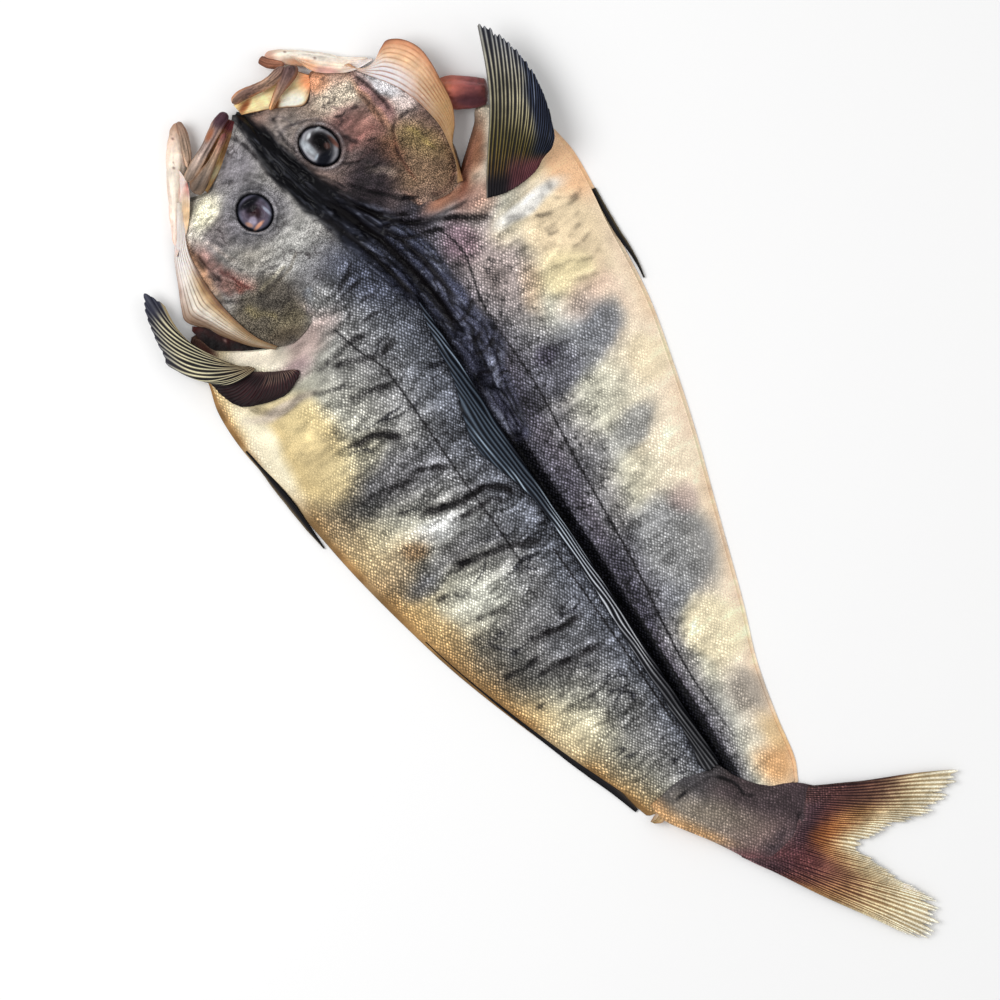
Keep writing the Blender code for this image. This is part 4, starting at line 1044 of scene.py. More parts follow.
meatTone = {
    "flank": (222, 186, 156), "edge": (236, 214, 186), "back": (176, 108, 88), "head": (214, 186, 166),
}
cavity = {
    "cover": [(-75.4, 117.5), (-69, 112), (-61, 103), (-54, 97), (-46, 94), (-39, 92)],
    "collar": [(-76.6, 116), (-74.5, 105), (-67, 96), (-58, 88), (-50, 86), (-40, 89)],
    "rows": 60,
    "columns": 24,
    # painted shade of the deep hollow
    "dark": (16, 8, 9),
    "red": (86, 28, 24),
    # painted glints
    "pale": (190, 160, 150),
}


def makeInside():
    (headLeft, left), (headRight, right) = halfPlans("left"), halfPlans("right")
    # fewer rows and columns than the skin has, and none at its edges
    plan = np.concatenate([left[:, :0:-1], right], axis=1)[16:405:4, 5:-5:3]
    across = np.concatenate([-halfW[:, :0:-1], halfW], axis=1)[:, 5:-5:3]
    w = np.abs(across)
    x, y = xy(plan)
    # chevron muscle blocks, a ridge of small bones beside the back, thin belly walls
    chevrons = np.sin(y / 2.3 + 5.5 * np.abs(across - 0.1) + 0.8 * grain(x, y, 14, 2, seed=31))
    ridge = bell(across - 0.06, 0.03)
    lower = 0.3 + 0.22 * chevrons * (1 - 0.5 * w) - 0.15 * ridge + 0.12 * grain(x, y, 5, 3, seed=32)
    height = np.clip(lower, 0.08, 0.9) + 0.9
    outer = rise(w, 0.5, 0.4)[..., None]
    tone = np.array(meatTone["flank"]) + (np.array(meatTone["edge"]) - meatTone["flank"]) * outer
    tone = dab(tone, meatTone["back"], 0.6 * bell(across - 0.06, 0.06))
    tone = tone * (1 + 0.07 * chevrons + 0.08 * grain(x, y, 4, 3, seed=33))[..., None]
    # its painted shade is taken back out, as the lower face shows
    tone = tone / leafLook["shadeBelow"]  # the lower face is the one that shows
    leafPiece("cutSide", plan, height, tone, (0, 1, 0.6), 0.9, meat, ["flesh"])
    plan = np.concatenate([headLeft[:, :0:-1], headRight], axis=1)[5:-3:3, 5:-5:3]
    x, y = xy(plan)
    lumps = grain(x, y, 9, 3, seed=34)
    tone = 1 + 0.12 * lumps + 0.10 * grain(x, y * 0.4, 4, 3, seed=39)
    # the lower face shows here too, so its painted shade is taken back out
    tone = np.array(meatTone["head"]) * tone[..., None] / leafLook["shadeBelow"]
    leafPiece("headInside", plan, 1.1 + 0.35 * lumps, tone, (0, 1, 0.6), 0.7, meat, ["body"])
    # the cavity is a hollow between the cover and the collar, with the gills' combs across it; its
    # near-black is painted shade of the deep hollow, its red the gills' own colour and its pale spots
    # painted glints
    rows, columns = cavity["rows"], cavity["columns"]
    u, across = evenly(rows), evenly(columns)[None, :, None]
    cover, collar = smoothLine(cavity["cover"], u), smoothLine(cavity["collar"], u)
    plan = cover[:, None] * (1 - across) + collar[:, None] * across
    x, y = xy(plan)
    combs = np.sin(2 * math.pi * np.linspace(0, 15, rows))[:, None] * grain(x, y, 7, 2, seed=38)
    tone = np.zeros((rows, columns, 3)) + cavity["dark"]
    tone = dab(tone, cavity["red"], 1.4 * grain(x, y, 8, 3, seed=35) * (1 + 0.3 * combs))
    tone = dab(tone, cavity["pale"], rise(grain(x, y, 6, 2, seed=37), 0.45, 0.2))
    height = 3.2 + 0.3 * combs + 0.4 * grain(x, y, 5, 2, seed=36)
    leafPiece("gillCavity", plan, height, tone, (0, 1, 0.8), 1.0, meat, ["body"])


makeInside()
print("inside done")


# tail root: the thick stalk that flattens into the tail

tailRoot = {
    "front": [(-33, -145), (-17, -143), (-2, -145)],
    "left": [(-33, -145), (-31.5, -153), (-27.5, -160), (-21, -170), (-16, -179), (-11.8, -187.4),
             (-7.9, -194)],
    "right": [(-2, -145), (1, -151.5), (5, -158), (10, -163.5), (15.5, -167.5), (21, -171), (26, -176)],
    "rear": [(-7.9, -194), (0, -199.5), (10, -200.5), (18, -196), (24, -187), (26, -176)],
    "rows": 120,
    "columns": 61,
    "halfHeight": [(0, 3.6), (0.12, 5.2), (0.3, 5.4), (0.5, 4.4), (0.75, 2.5), (0.9, 1.4), (1, 0.6)],
    "tones": [(0, (94, 90, 88)), (0.15, (136, 126, 114)), (0.4, (130, 118, 108)), (0.65, (120, 102, 98)),
              (0.85, (108, 84, 86)), (1, (90, 66, 70))],
    "folds": [
        # line, strength of its painted crease shade
        ([(-26, -149), (-15.6, -148), (-6, -149), (0, -156), (1.2, -163), (6, -165)], 0.9),
        ([(-6, -191), (4, -189), (12, -187)], 0.5),
        ([(0, -193), (9, -188), (15.6, -180)], 0.6),
    ],
    "detail": (0.42, 0.25, 0.3),
}


def makeTailRoot():
    rows, columns = tailRoot["rows"], tailRoot["columns"]
    u, w = evenly(rows), evenly(columns)
    left, right = smoothLine(tailRoot["left"], u), smoothLine(tailRoot["right"], u)
    front, rear = smoothLine(tailRoot["front"], w), smoothLine(tailRoot["rear"], w)
    plan = coons(left, right, front, rear, u, w)
    x, y = xy(plan)
    half = rule(tailRoot["halfHeight"], u)[:, None]
    oval = np.sqrt(np.clip(1 - (2 * w - 1) ** 2, 0.02, 1))[None]
    middle = 0.2 + half
    ridges = 0.35 * grain(x + y, (x - y) * 2, 8, 3, seed=41)
    upper = middle + half * oval + ridges * oval
    lower = np.maximum(middle - half * oval, 0.1)
    tone = rule(tailRoot["tones"], u)[:, None] + np.zeros((1, columns, 3))
    for colour, much, across, along in (
            ((206, 158, 106), 0.8, (0.26 - w) / 0.22, (0.72 - u) / 0.3),
            ((150, 96, 100), 0.6, (0.3 - w) / 0.2, (u - 0.6) / 0.2),
            ((72, 70, 75), 0.75, (w - 0.28) / 0.3, (0.34 - u) / 0.25),
            ((64, 54, 58), 0.85, (w - 0.42) / 0.3, (u - 0.02) / 0.25)):
        tone = dab(tone, colour, much * eased(across)[None] * eased(along)[:, None])
    for line, shade in tailRoot["folds"]:
        distance, share = nearLine(x, y, line)
        height, crease, _ = fold(distance, share, 0.8, 0.6)
        upper = upper + height * oval
        broken = 0.3 + 0.7 * eased((grain(x, y, 5, 2, seed=46) + 0.3) / 0.5)
        # painted shade in the fold's crease
        tone = dab(tone, (18, 16, 18), shade * crease * broken)
    broken = 0.4 + 0.6 * eased(grain(x, y, 4, 2, seed=47) + 0.5)
    tone = dab(tone, (40, 36, 42), 0.6 * blob(x, y, 2, -186, 9, 4, 12, 0.8) * broken)
    tone = tone * (1 + 0.22 * grain(x, y, 5, 3, seed=42))[..., None]
    points, faces = closedSheet(plan, upper, lower)
    tone = np.tile(tone.reshape(-1, 3), (2, 1))
    makePiece("tailStalk", points, faces, tone, tailRoot["detail"], skin, ["body"])


makeTailRoot()


def treeOf(*names):
    # everything those pieces cover, for laying fins on it
    points, faces = [], []
    for name in names:
        mesh = bpy.data.objects[name].data
        flatPoints = np.empty(len(mesh.vertices) * 3)
        mesh.vertices.foreach_get("co", flatPoints)
        faces += [[v + len(points) for v in polygon.vertices] for polygon in mesh.polygons]
        points += flatPoints.reshape(-1, 3).tolist()
    return BVHTree.FromPolygons(points, faces)


def restingHeight(plan):
    # height in mm of the surface below a grid of places, sampled at every fourth one and smoothed
    rows, columns, _ = plan.shape
    pickRows = np.unique(np.r_[np.arange(0, rows, 4), rows - 1])
    pickColumns = np.unique(np.r_[np.arange(0, columns, 4), columns - 1])
    found = np.zeros((len(pickRows), len(pickColumns)))
    for i, row in enumerate(pickRows):
        for j, column in enumerate(pickColumns):
            x, y = plan[row, column] * mm
            hit = surface.ray_cast(Vector((x, y, 0.1)), Vector((0, 0, -1)))[0]
            found[i, j] = hit.z / mm if hit else 0
    padded = np.pad(found, 1, mode="edge")
    high, wide = found.shape
    near = np.stack([padded[a:a + high, b:b + wide] for a in range(3) for b in range(3)])
    found = np.where(found > 0, near.max(axis=0), found)
    alongRows = np.stack([np.interp(np.arange(rows), pickRows, column) for column in found.T], axis=1)
    return np.stack([np.interp(np.arange(columns), pickColumns, row) for row in alongRows])


surface = treeOf("skin_left", "skin_right", "tailStalk")
print("tail root done")


# fins

def jitter(k, seed):
    # how far ray k strays
    return scattered(k * 12.9898 + seed * 78.233)


def rayedPlan(look):
    # a column bunch for each ray, from the base out to a ragged tip
    columns = look["rays"] * look["perRay"] + 1
    shares = evenly(columns)
    start, end = smoothLine(look["base"], shares), smoothLine(look["tips"], shares)
    phase = shares * look["rays"]
    onRay = 0.5 - 0.5 * np.cos(2 * math.pi * phase)
    k = np.floor(phase)
    shorter = look["ragged"] * (0.25 * jitter(k, 3) + 0.6 * jitter(k, 5) ** 4 + 0.35 * (1 - onRay ** 0.7))
    t = evenly(look["rows"])[:, None]
    reach = t * (1 - shorter[None] * rise(t, 0.5, 0.5))
    run = end - start
    side = np.stack([-run[:, 1], run[:, 0]], axis=1) / (np.linalg.norm(run, axis=1)[:, None] + 1e-9)
    sway = look.get("bow", 0) * np.sin(math.pi * reach) + look.get("hook", 0) * np.sin(2 * math.pi * reach)
    sway = sway + 0.25 * np.sin(9 * reach + 2 * jitter(k, 7))
    plan = start[None] + run[None] * reach[..., None] + side[None] * sway[..., None]
    return plan, shares[None] + 0 * t, reach, onRay[None] + 0 * t


def rayed(web, ray, onRay, sharp):
    # tones of the rays over those of the skin between them
    return web + (ray - web) * (onRay ** sharp)[..., None]


stripedFin = {
    # upper lobe of the left fin: pale rays on black
    "base": [(-68, 91.5), (-65.5, 91), (-63.5, 88.5)],
    "tips": [(-79.5, 131), (-83, 138.5), (-86, 137), (-89.5, 127), (-91.5, 117), (-92.5, 110), (-88.5, 104),
             (-83, 99)],
    "rays": 15, "perRay": 8, "rows": 90, "ragged": 0.05, "bow": 5.5,
    "web": [(0, (70, 50, 40)), (0.25, (26, 22, 24)), (0.8, (30, 28, 32)), (1, (42, 42, 52))],
    "ray": [(0, (214, 190, 150)), (0.3, (226, 214, 176)), (0.75, (216, 208, 176)), (0.92, (150, 148, 140)),
            (1, (96, 98, 112))],
}
shadedFinFold = {
    # lower lobe, folded under: a reddish-brown web darkened by painted shade
    "base": [(-66, 89), (-60, 84.5), (-52.5, 80)],
    "tips": [(-82.5, 97), (-81.4, 88), (-78, 79.8), (-70, 75.3), (-60, 72.8), (-51.5, 75.5)],
    "rays": 26, "perRay": 5, "rows": 60, "ragged": 0.03, "bow": 2.0,
    "tones": [(0, (84, 64, 58)), (0.12, (44, 24, 26)), (0.45, (40, 15, 19)), (0.8, (32, 12, 15)),
              (1, (20, 10, 13))],
}
rightFin = {
    "base": [(50.5, 92), (58, 89.5), (66, 89), (73, 90), (78, 92.5)],
    "tips": [(87, 152), (90.5, 146.5), (94, 136), (94.3, 124), (92.5, 113), (89.5, 103.5), (85.5, 99.5)],
    "rays": 26, "perRay": 6, "rows": 90, "ragged": 0.05, "bow": -2.7, "hook": 0.6,
    "web": [(0, (26, 18, 22)), (0.2, (24, 20, 18)), (0.6, (22, 20, 24)), (1, (30, 32, 42))],
    "ray": [(0, (60, 40, 40)), (0.14, (104, 80, 46)), (0.32, (118, 104, 52)), (0.5, (172, 162, 122)),
            (0.8, (196, 190, 168)), (1, (150, 152, 158))],
}


def makeLeftFin():
    plan, share, t, onRay = rayedPlan(stripedFin)
    x, y = xy(plan)
    hover = 12.5 - 5.5 * t + 5.5 * np.sin(math.pi * np.clip(t * 1.1, 0, 1))
    height = np.maximum(restingHeight(plan) + 2.2, hover) + 0.5 * onRay
    web, ray = rule(stripedFin["web"], t), rule(stripedFin["ray"], t)
    tone = rayed(web, ray, onRay, 1.8) * (1 + 0.22 * grain(x, y, 10, 3, seed=51))[..., None]
    tone = dab(tone, (48, 50, 66), 0.8 * blob(x, y, -84, 134, 5, 6, 0, 0.6))
    tone = dab(tone, (204, 180, 128), 0.8 * fall(share, 0.05, 0.04))
    leafPiece("pectoralFin_left", plan, height, tone, (0, 0.6, 0.6), 1.0, finSkin, ["pectoral_left"])
    plan, share, t, onRay = rayedPlan(shadedFinFold)
    x, y = xy(plan)
    hover = 12.0 - 5.0 * t + 2.2 * np.sin(math.pi * t)
    height = np.maximum(restingHeight(plan) + 1.2, hover) + 0.18 * onRay
    tone = rule(shadedFinFold["tones"], t)
    tone = rayed(tone * 0.6, tone * 1.15, onRay, 1.0)
    lines = rise(t, 0.02, 0.1) * fall(t, 0.5, 0.25) * onRay ** 3 * rise(share, 0.3, 0.2)
    tone = dab(tone, (176, 150, 128), 0.75 * lines)
    # painted shade along the edge that lies under the upper lobe
    tone = dab(tone, (22, 20, 26), 0.8 * fall(share, 0.16, 0.12))
    tone = tone * (1 + 0.3 * grain(x, y, 7, 3, seed=52))[..., None]
    leafPiece("pectoralFold_left", plan, height, tone, (0, 0.6, 0.7), 0.9, finSkin,
              ["pectoral_left"])


def makeRightFin():
    plan, share, t, onRay = rayedPlan(rightFin)
    x, y = xy(plan)
    hover = 12.5 + 3.5 * t + 3.5 * np.sin(math.pi * t)
    height = np.maximum(restingHeight(plan) + 1.6, hover) + 0.5 * onRay
    web, ray = rule(rightFin["web"], t), rule(rightFin["ray"], t)
    navy = eased((share + 0.14 * grain(x, y, 16, 2, seed=53) - 0.34 + 0.30 * (t - 0.6)) / 0.20)
    navy = navy * rise(t, 0.14, 0.2)
    ray, web = dab(ray, (46, 54, 78), 0.95 * navy), dab(web, (9, 11, 19), 0.95 * navy)
    streak = navy * rise(grain(share * 60, t * 8, 3, 2, seed=57), 0.3, 0.3) * rise(t, 0.4, 0.2)
    ray = dab(ray, (140, 150, 172), 0.8 * streak)
    tone = rayed(web, ray, onRay, 2.2)
    mauve = fall(t, 0.30, 0.16) * rise(share, 0.18, 0.2) * eased((t + 0.02) / 0.04)
    tone = dab(tone, (112, 62, 72), 0.8 * mauve * (0.75 + 0.25 * onRay))
    tone = dab(tone, (20, 18, 24), 0.85 * fall(t, 0.16, 0.1) * fall(share, 0.45, 0.25))
    tone = dab(tone, (180, 176, 160), 0.5 * fall(share, 0.03, 0.02))
    tone = tone * (1 + 0.25 * grain(x, y, 10, 3, seed=54) + 0.1 * grain(x, y, 2.5, 2, seed=52))[..., None]
    leafPiece("pectoralFin_right", plan, height, tone, (0, 0.6, 0.6), 1.0, finSkin,
              ["pectoral_right"])


tail = {
    "base": [(-14.4, -183), (-5, -187.5), (5, -187.5), (13, -183), (18.5, -178), (23.2, -174.6)],
    "tips": [(23, -247), (31, -254.5), (40, -252.5), (41, -243), (36.5, -232), (31, -219), (28, -208),
             (38, -207), (50, -209.5), (63, -211.5), (77, -206.5), (78.5, -203.5)],
    "rays": 54, "perRay": 5, "rows": 104, "ragged": 0.16,
    "web": [(0, (92, 72, 74)), (0.1, (48, 34, 40)), (0.3, (42, 22, 24)), (0.5, (80, 46, 30)),
            (0.75, (146, 122, 86)), (1, (186, 172, 142))],
    "ray": [(0, (118, 92, 92)), (0.14, (96, 70, 74)), (0.26, (128, 84, 74)), (0.42, (202, 156, 106)),
            (0.6, (236, 214, 168)), (0.8, (248, 240, 214)), (1, (250, 246, 232))],
}


def makeTail():
    plan, share, t, onRay = rayedPlan(tail)
    x, y = xy(plan)
    swell = np.sin(2 * math.pi * share) ** 2
    height = 2.2 + 0.9 * fall(t, 0.6, 0.4) + 1.3 * np.sin(math.pi * t) * swell
    height = height + 0.6 * np.sin(2 * math.pi * 6 * share + 3 * t) * t
    rest = restingHeight(plan)
    out = eased((t + 0.03 * grain(x, y, 6, 2, seed=58)) / 0.10)
    height = np.where(rest > 0.6, np.maximum(height, rest + 0.35) * out + (rest - 0.5) * (1 - out), height)
    height = height + 0.35 * onRay * eased(t / 0.25)
    cloud = grain(x, y, 11, 3, seed=55)
    ray, web = rule(tail["ray"], t + 0.05 * cloud), rule(tail["web"], t + 0.05 * cloud)
    wine = bell(share - 0.30, 0.16) * fall(t, 0.62, 0.3)
    ray, web = dab(ray, (142, 92, 92), 0.6 * wine), dab(web, (62, 28, 34), 0.7 * wine)
    amber = bell(share - 0.60, 0.14) * fall(t, 0.8, 0.4) * rise(t, 0.15, 0.2)
    ray, web = dab(ray, (196, 122, 66), 0.6 * amber), dab(web, (112, 52, 28), 0.6 * amber)
    brown = rise(share, 0.80, 0.1) * fall(t, 0.75, 0.35)
    ray, web = dab(ray, (110, 76, 70), 0.7 * brown), dab(web, (46, 28, 32), 0.8 * brown)
    tone = rayed(web, ray, onRay, 1.3)
    tone = dab(tone, (50, 36, 34), 0.7 * rise(share, 0.975, 0.015) * fall(t, 0.6, 0.3))
    tone = tone * (1 + 0.22 * cloud + 0.14 * grain(x, y, 2, 2, seed=56))[..., None]
    # scales run out onto the base
    fade = eased((0.30 + 0.08 * np.sin(7 * share) - t) / 0.16)
    detail = np.dstack([0.5 * fade, 0.2 + 0 * t, 0.4 + 0 * t])
    leafPiece("tailFin", plan, height, tone, detail, 1.0, skin, ["tail_fin"])


backFin = {
    # widths and tones by the place along the body
    "widths": [(74, 0.9), (66, 2.6), (50, 5), (40, 6.2), (30, 9), (24, 11), (16, 13), (5, 12), (-5, 8.5),
               (-15, 5.5), (-45, 4.8), (-80, 5.4), (-120, 5.4), (-136, 6.5), (-144, 7.5), (-148, 5)],
    "base": [(-148, (26, 26, 30)), (-60, (20, 21, 28)), (10, (32, 40, 52)), (40, (26, 33, 44)),
             (74, (22, 24, 32))],
    "ray": [(-148, (236, 238, 236)), (-60, (226, 232, 240)), (0, (200, 220, 236)), (45, (186, 206, 226)),
            (74, (80, 88, 102))],
    "span": (0.12, 0.978),  # shares of the back line
    "rows": 300, "columns": 65,
}


def makeDorsal():
    rows, columns = backFin["rows"], backFin["columns"]
    u = np.linspace(*backFin["span"], rows)
    line = smoothLine(body["backLine"], u)
    s = evenly(columns)
    width = rule(backFin["widths"], line[:, 1]) * (1 + 0.12 * grain(u * 446, 0 * u, 14, 3, seed=62))
    across = width[:, None] * s[None]
    plan = np.stack([line[:, :1] + 0.9 - across, line[:, 1:2] + 0 * across], axis=-1)
    x, y = xy(plan)
    # long rays laid almost along the band, a little tangled
    tangle = 1.5 * grain(x * 0.7, y * 0.12, 5, 3, seed=63)
    phase = across / 1.5 + 9.0 * u[:, None] + tangle
    onRay = ribs(phase)
    front = rise(line[:, 1:2], 52, 20)
    puffed = (0.45 * onRay + 0.9 * np.sin(math.pi * s)[None]) * (1 - 0.7 * front)
    height = restingHeight(plan) + 0.9 + puffed
    bright = 0.35 + 0.65 * eased((grain(x * 1.8, y * 0.16, 8, 3, seed=64) + 0.12) / 0.35)
    base, ray = rule(backFin["base"], y), rule(backFin["ray"], y)
    tone = base + (ray - base) * (onRay ** 2.4 * bright)[..., None]
    tone = dab(tone, (10, 11, 15), 0.85 * (1 - onRay) ** 3)
    edges = fall(s, 0.10, 0.08) + 0.8 * rise(s, 0.93, 0.05)
    tone = dab(tone, (12, 13, 19), 0.85 * edges[None] * np.ones((rows, 1)))
    leafPiece("backFin", plan, height, tone, (0, 0.8, 0.6), 0.9, finSkin, ["dorsal_fin"])


edgeFins = {
    # narrow folded fins; tones go from the left to the right side
    "bellyFin": {
        "node": "anal_fin", "height": 0.6, "rows": 160,
        "line": [(-38.5, -144), (-42.5, -128), (-49.3, -110), (-57.6, -85), (-66, -56), (-70, -40)],
        "widths": [(0, 0.8), (0.15, 1.9), (0.4, 1.2), (0.7, 0.8), (1, 0.3)],
        "tones": ((16, 14, 18), (30, 27, 30), (70, 60, 52)),
    },
    "pelvicFin_left": {
        "node": "pelvic_left", "height": 0.9, "rows": 90,
        "line": [(-82.3, 14), (-83.0, 25), (-83.4, 36), (-84.2, 45), (-85.0, 55), (-86.2, 64)],
        "widths": [(0, 0.3), (0.25, 1.2), (0.5, 1.6), (0.8, 1.0), (1, 0.4)],
        "tones": ((120, 104, 78), (20, 18, 22), (12, 11, 14)),
    },
    "pelvicFin_right": {
        "node": "pelvic_right", "height": 0.9, "rows": 90,
        "line": [(85.3, 31), (86.4, 37), (86.9, 44), (86.9, 52), (87.6, 61), (88.8, 72)],
        "widths": [(0, 0.3), (0.3, 0.9), (0.6, 1.2), (1, 0.9)],
        "tones": ((14, 12, 16), (24, 22, 22), (110, 96, 66)),
    },
}


def makeEdgeFin(name, look):
    # its rays run lengthwise
    u, s = evenly(look["rows"]), np.linspace(-1, 1, 15)
    path = smoothLine(look["line"], u)
    step = np.gradient(path, axis=0)
    side = np.stack([step[:, 1], -step[:, 0]], axis=1) / np.linalg.norm(step, axis=1)[:, None]
    width = rule(look["widths"], u) * (1 + 0.10 * grain(u * 120, 0 * u, 9, 2, seed=71))
    plan = path[:, None] + side[:, None] * (width[:, None] * s[None])[..., None]
    rib = ribs(2.2 * s[None] + 1.5 * u[:, None])
    z = look["height"] + 0.3 * rib + 0.4 * (1 - s[None] ** 2)
    tone = rule(zip((-1, 0, 1), look["tones"]), s)[None] * (0.75 + 0.4 * rib)[..., None]
    leafPiece(name, plan, z, tone, (0, 0.6, 0.5), 0.7, finSkin, [look["node"]])


makeLeftFin()
makeRightFin()
makeTail()
makeDorsal()
for name, look in edgeFins.items():
    makeEdgeFin(name, look)
print("fins done")


# gill covers' ribbed edges

gillFans = {
    "left": {
        "outer": [(-53.5, 162), (-60, 152), (-66, 144), (-71, 134), (-75, 126), (-76.5, 120.5), (-72, 114),
                  (-67.5, 107), (-61, 98), (-53, 90.5)],
        "rim": [(0, 5), (0.3, 2.2), (0.6, 2.2), (1, 7)],
        "ribs": 8, "groove": (104, 74, 60),
        "tones": [(0, (124, 92, 70)), (0.12, (176, 142, 104)), (0.3, (214, 194, 166)),
                  (0.55, (236, 226, 212)), (0.85, (222, 202, 190)), (1, (190, 164, 150))],
        "ends": (136, 112, 80), "endsFrom": 0.62, "endsMuch": 0.55,
        "spots": [((236, 230, 228), (-60, 146), (6, 14), -25, 0.6, 0.9)],
    },
    "right": {
        "outer": [(36, 168.5), (38.5, 164), (44, 163), (50, 166), (54, 167), (59, 163.5), (62.5, 157),
                  (63, 149), (62, 140), (60.5, 131), (57, 124), (52, 118), (49.5, 111), (47, 103.5)],
        "rim": [(0, 7), (0.15, 9), (0.4, 14), (0.7, 14), (1, 11)],
        "ribs": 9, "groove": (140, 78, 50),
        "tones": [(0, (182, 156, 144)), (0.2, (218, 190, 172)), (0.5, (228, 190, 154)),
                  (0.8, (222, 170, 132)), (0.93, (204, 142, 106)), (1, (132, 82, 58))],
        "ends": (160, 126, 82), "endsFrom": 0.42, "endsMuch": 0.75,
        "spots": [((232, 230, 234), (45, 155), (6, 10), 20, 0.6, 0.9)],
    },
}


def makeGillFan(side):
    look = gillFans[side]
    rows, columns = 140, 37
    u, s = evenly(rows), evenly(columns)
    inner, outer = smoothLine(body["cheekEdge"][side], u), smoothLine(look["outer"], u)
    run = outer - inner
    start = inner - 0.4 * run / (np.linalg.norm(run, axis=1)[:, None] + 1e-9)
    plan = start[:, None] + (outer - start)[:, None] * s[None, :, None]
    x, y = xy(plan)
    hinge = rule([(0, 4.5), (0.15, 8), (0.5, 10.2), (0.8, 9.2), (1, 7)], u)[:, None]
    rim = rule(look["rim"], u)[:, None]
    flare = hinge * (1 - s[None]) + rim * s[None] + 1.6 * np.sin(math.pi * s)[None]
    rest = restingHeight(plan)
    # clears the skin only where it leans on it
    height = np.maximum(flare, rest + 1.0)
    bend = s[None] + 0.05 * grain(x, y, 22, 2, seed=81) + 0.06 * np.sin(3 * u[:, None] + 1)
    rib = ribs(look["ribs"] * bend)
    fine = grain(x, y, 3, 3, seed=82)
    height = height + 0.5 * rib * np.sin(math.pi * s)[None] + 0.25 * fine
    tone = rule(look["tones"], s[None] + 0.10 * grain(x, y, 8, 2, seed=83))
    tone = tone * (1 + 0.10 * fine + 0.10 * grain(x, y, 9, 3, seed=84))[..., None]
    ends = eased((u - look["endsFrom"]) / 0.25)[:, None] * np.ones((1, columns))
    tone = dab(tone, look["ends"], look["endsMuch"] * ends)
    tone = dabAll(tone, x, y, look["spots"])
    grooves = fall(rib, 0.22, 0.22) * (0.45 + 0.55 * eased((grain(x, y, 7, 2, seed=85) + 0.3) / 0.5))
    tone = dab(tone, look["groove"], 0.7 * grooves)
    tone = dab(tone, (110, 70, 52), 0.6 * rise(s, 0.965, 0.03)[None] * np.ones((rows, 1)))
    if side == "left":
        outer, rear = rise(s, 0.55, 0.3)[None], rise(u, 0.4, 0.2)[:, None]
        tone = dab(tone, (120, 92, 66), 0.55 * outer * rear)
    leafPiece("gillEdge_" + side, plan, height, tone, (0, 0.8, 0.6), 1.0, membrane,
              ["gill_fan_" + side])


makeGillFan("left")
makeGillFan("right")
print("gill edges done")


# mouth: jaws, lips and the thin skin between them

barLook = {
    "flat": 1.0,  # height to width
    "lumps": 0.25,
    "ridges": 0.12,
    "fibre": 0.45,
    "pores": (),
    "dabs": (),
    "seed": 91,  # of its grain
    "rows": 96,
    "around": 36,
    "material": boneSkin,
    "slot": "bone",
}
sheetLook = {
    "bulge": 0.5,
    "seed": 95,
    "border": (130, 84, 54),
    "borderWidth": 0.08,
    "rest": 0,  # mm that it keeps above the skin below it, if any
    "dabs": (),
    "rows": 64,
    "columns": 32,
    "slot": "mouth",
}


def bar(name, given):
    # a dried bone or lip along (x, y, half-width) points, ridged lengthwise, with pores if asked
    look = {**barLook, **given}
    rows, around, seed = look["rows"], look["around"], look["seed"]
    u = evenly(rows)
    path = smoothLine(look["line"], u)
    step = np.gradient(path[:, :2], axis=0)
    side = np.stack([-step[:, 1], step[:, 0]], axis=1) / np.linalg.norm(step, axis=1)[:, None]
    near = np.clip(np.minimum(u, 1 - u) / 0.07, 0.004, 1)
    ends = np.sqrt(near * (2 - near))[:, None]
    angle = np.linspace(0, 2 * math.pi, around, endpoint=False)[None]
    length = np.linalg.norm(step, axis=1).sum()
    runs = u[:, None] * length
    lumps = grain(runs, angle * 2.2, 6, 3, seed=seed)
    # fibres wind a little round the bone
    twist = angle + 0.35 * np.sin(runs / 7 + seed)
    fibre = grain(twist * 3.6, runs * 0.10, 1.5, 3, seed=seed + 1)
    cracks = fall(np.abs(fibre), 0.1, 0.1) * eased(0.4 + grain(runs, twist * 2, 7, 2, seed=seed + 2))
    squared = 1 + 0.14 * np.cos(4 * angle + 0.5)
    radius = path[:, 2:3] * ends * squared * (1 + look["ridges"] * fibre) + look["lumps"] * lumps * ends
    plan = path[:, None, :2] + side[:, None] * (radius * np.cos(angle))[..., None]
    x, y = xy(plan)
    z = look["height"] + radius * np.sin(angle) * look["flat"]
    tone = rule(look["tones"], u)[:, None] + np.zeros((1, around, 3))
    tone = tone * (1 + look["fibre"] * fibre + 0.2 * lumps - look["fibre"] * cracks)[..., None]
    # the sides take the edge tone, partly the bone's own rim colour and partly painted shade where the
    # sides turn away
    if "edge" in look:
        edge = 0.65 * rise(np.abs(np.cos(angle)), 0.72, 0.2)
        tone = dab(tone, look["edge"], edge * eased(0.5 + lumps))
    tone = dabAll(tone, x, y, look["dabs"])
    tone = dabAll(tone, x, y, [((96, 70, 64), pore, (0.4, 0.6), 30, 0.9, 0.75) for pore in look["pores"]])
    points = np.dstack([plan, np.maximum(z, 0.1)]).reshape(-1, 3)
    makePiece(name, points, tubeFaces(rows, around), tone.reshape(-1, 3), (0, 0.8, 0.7), look["material"],
              [look["node"]])


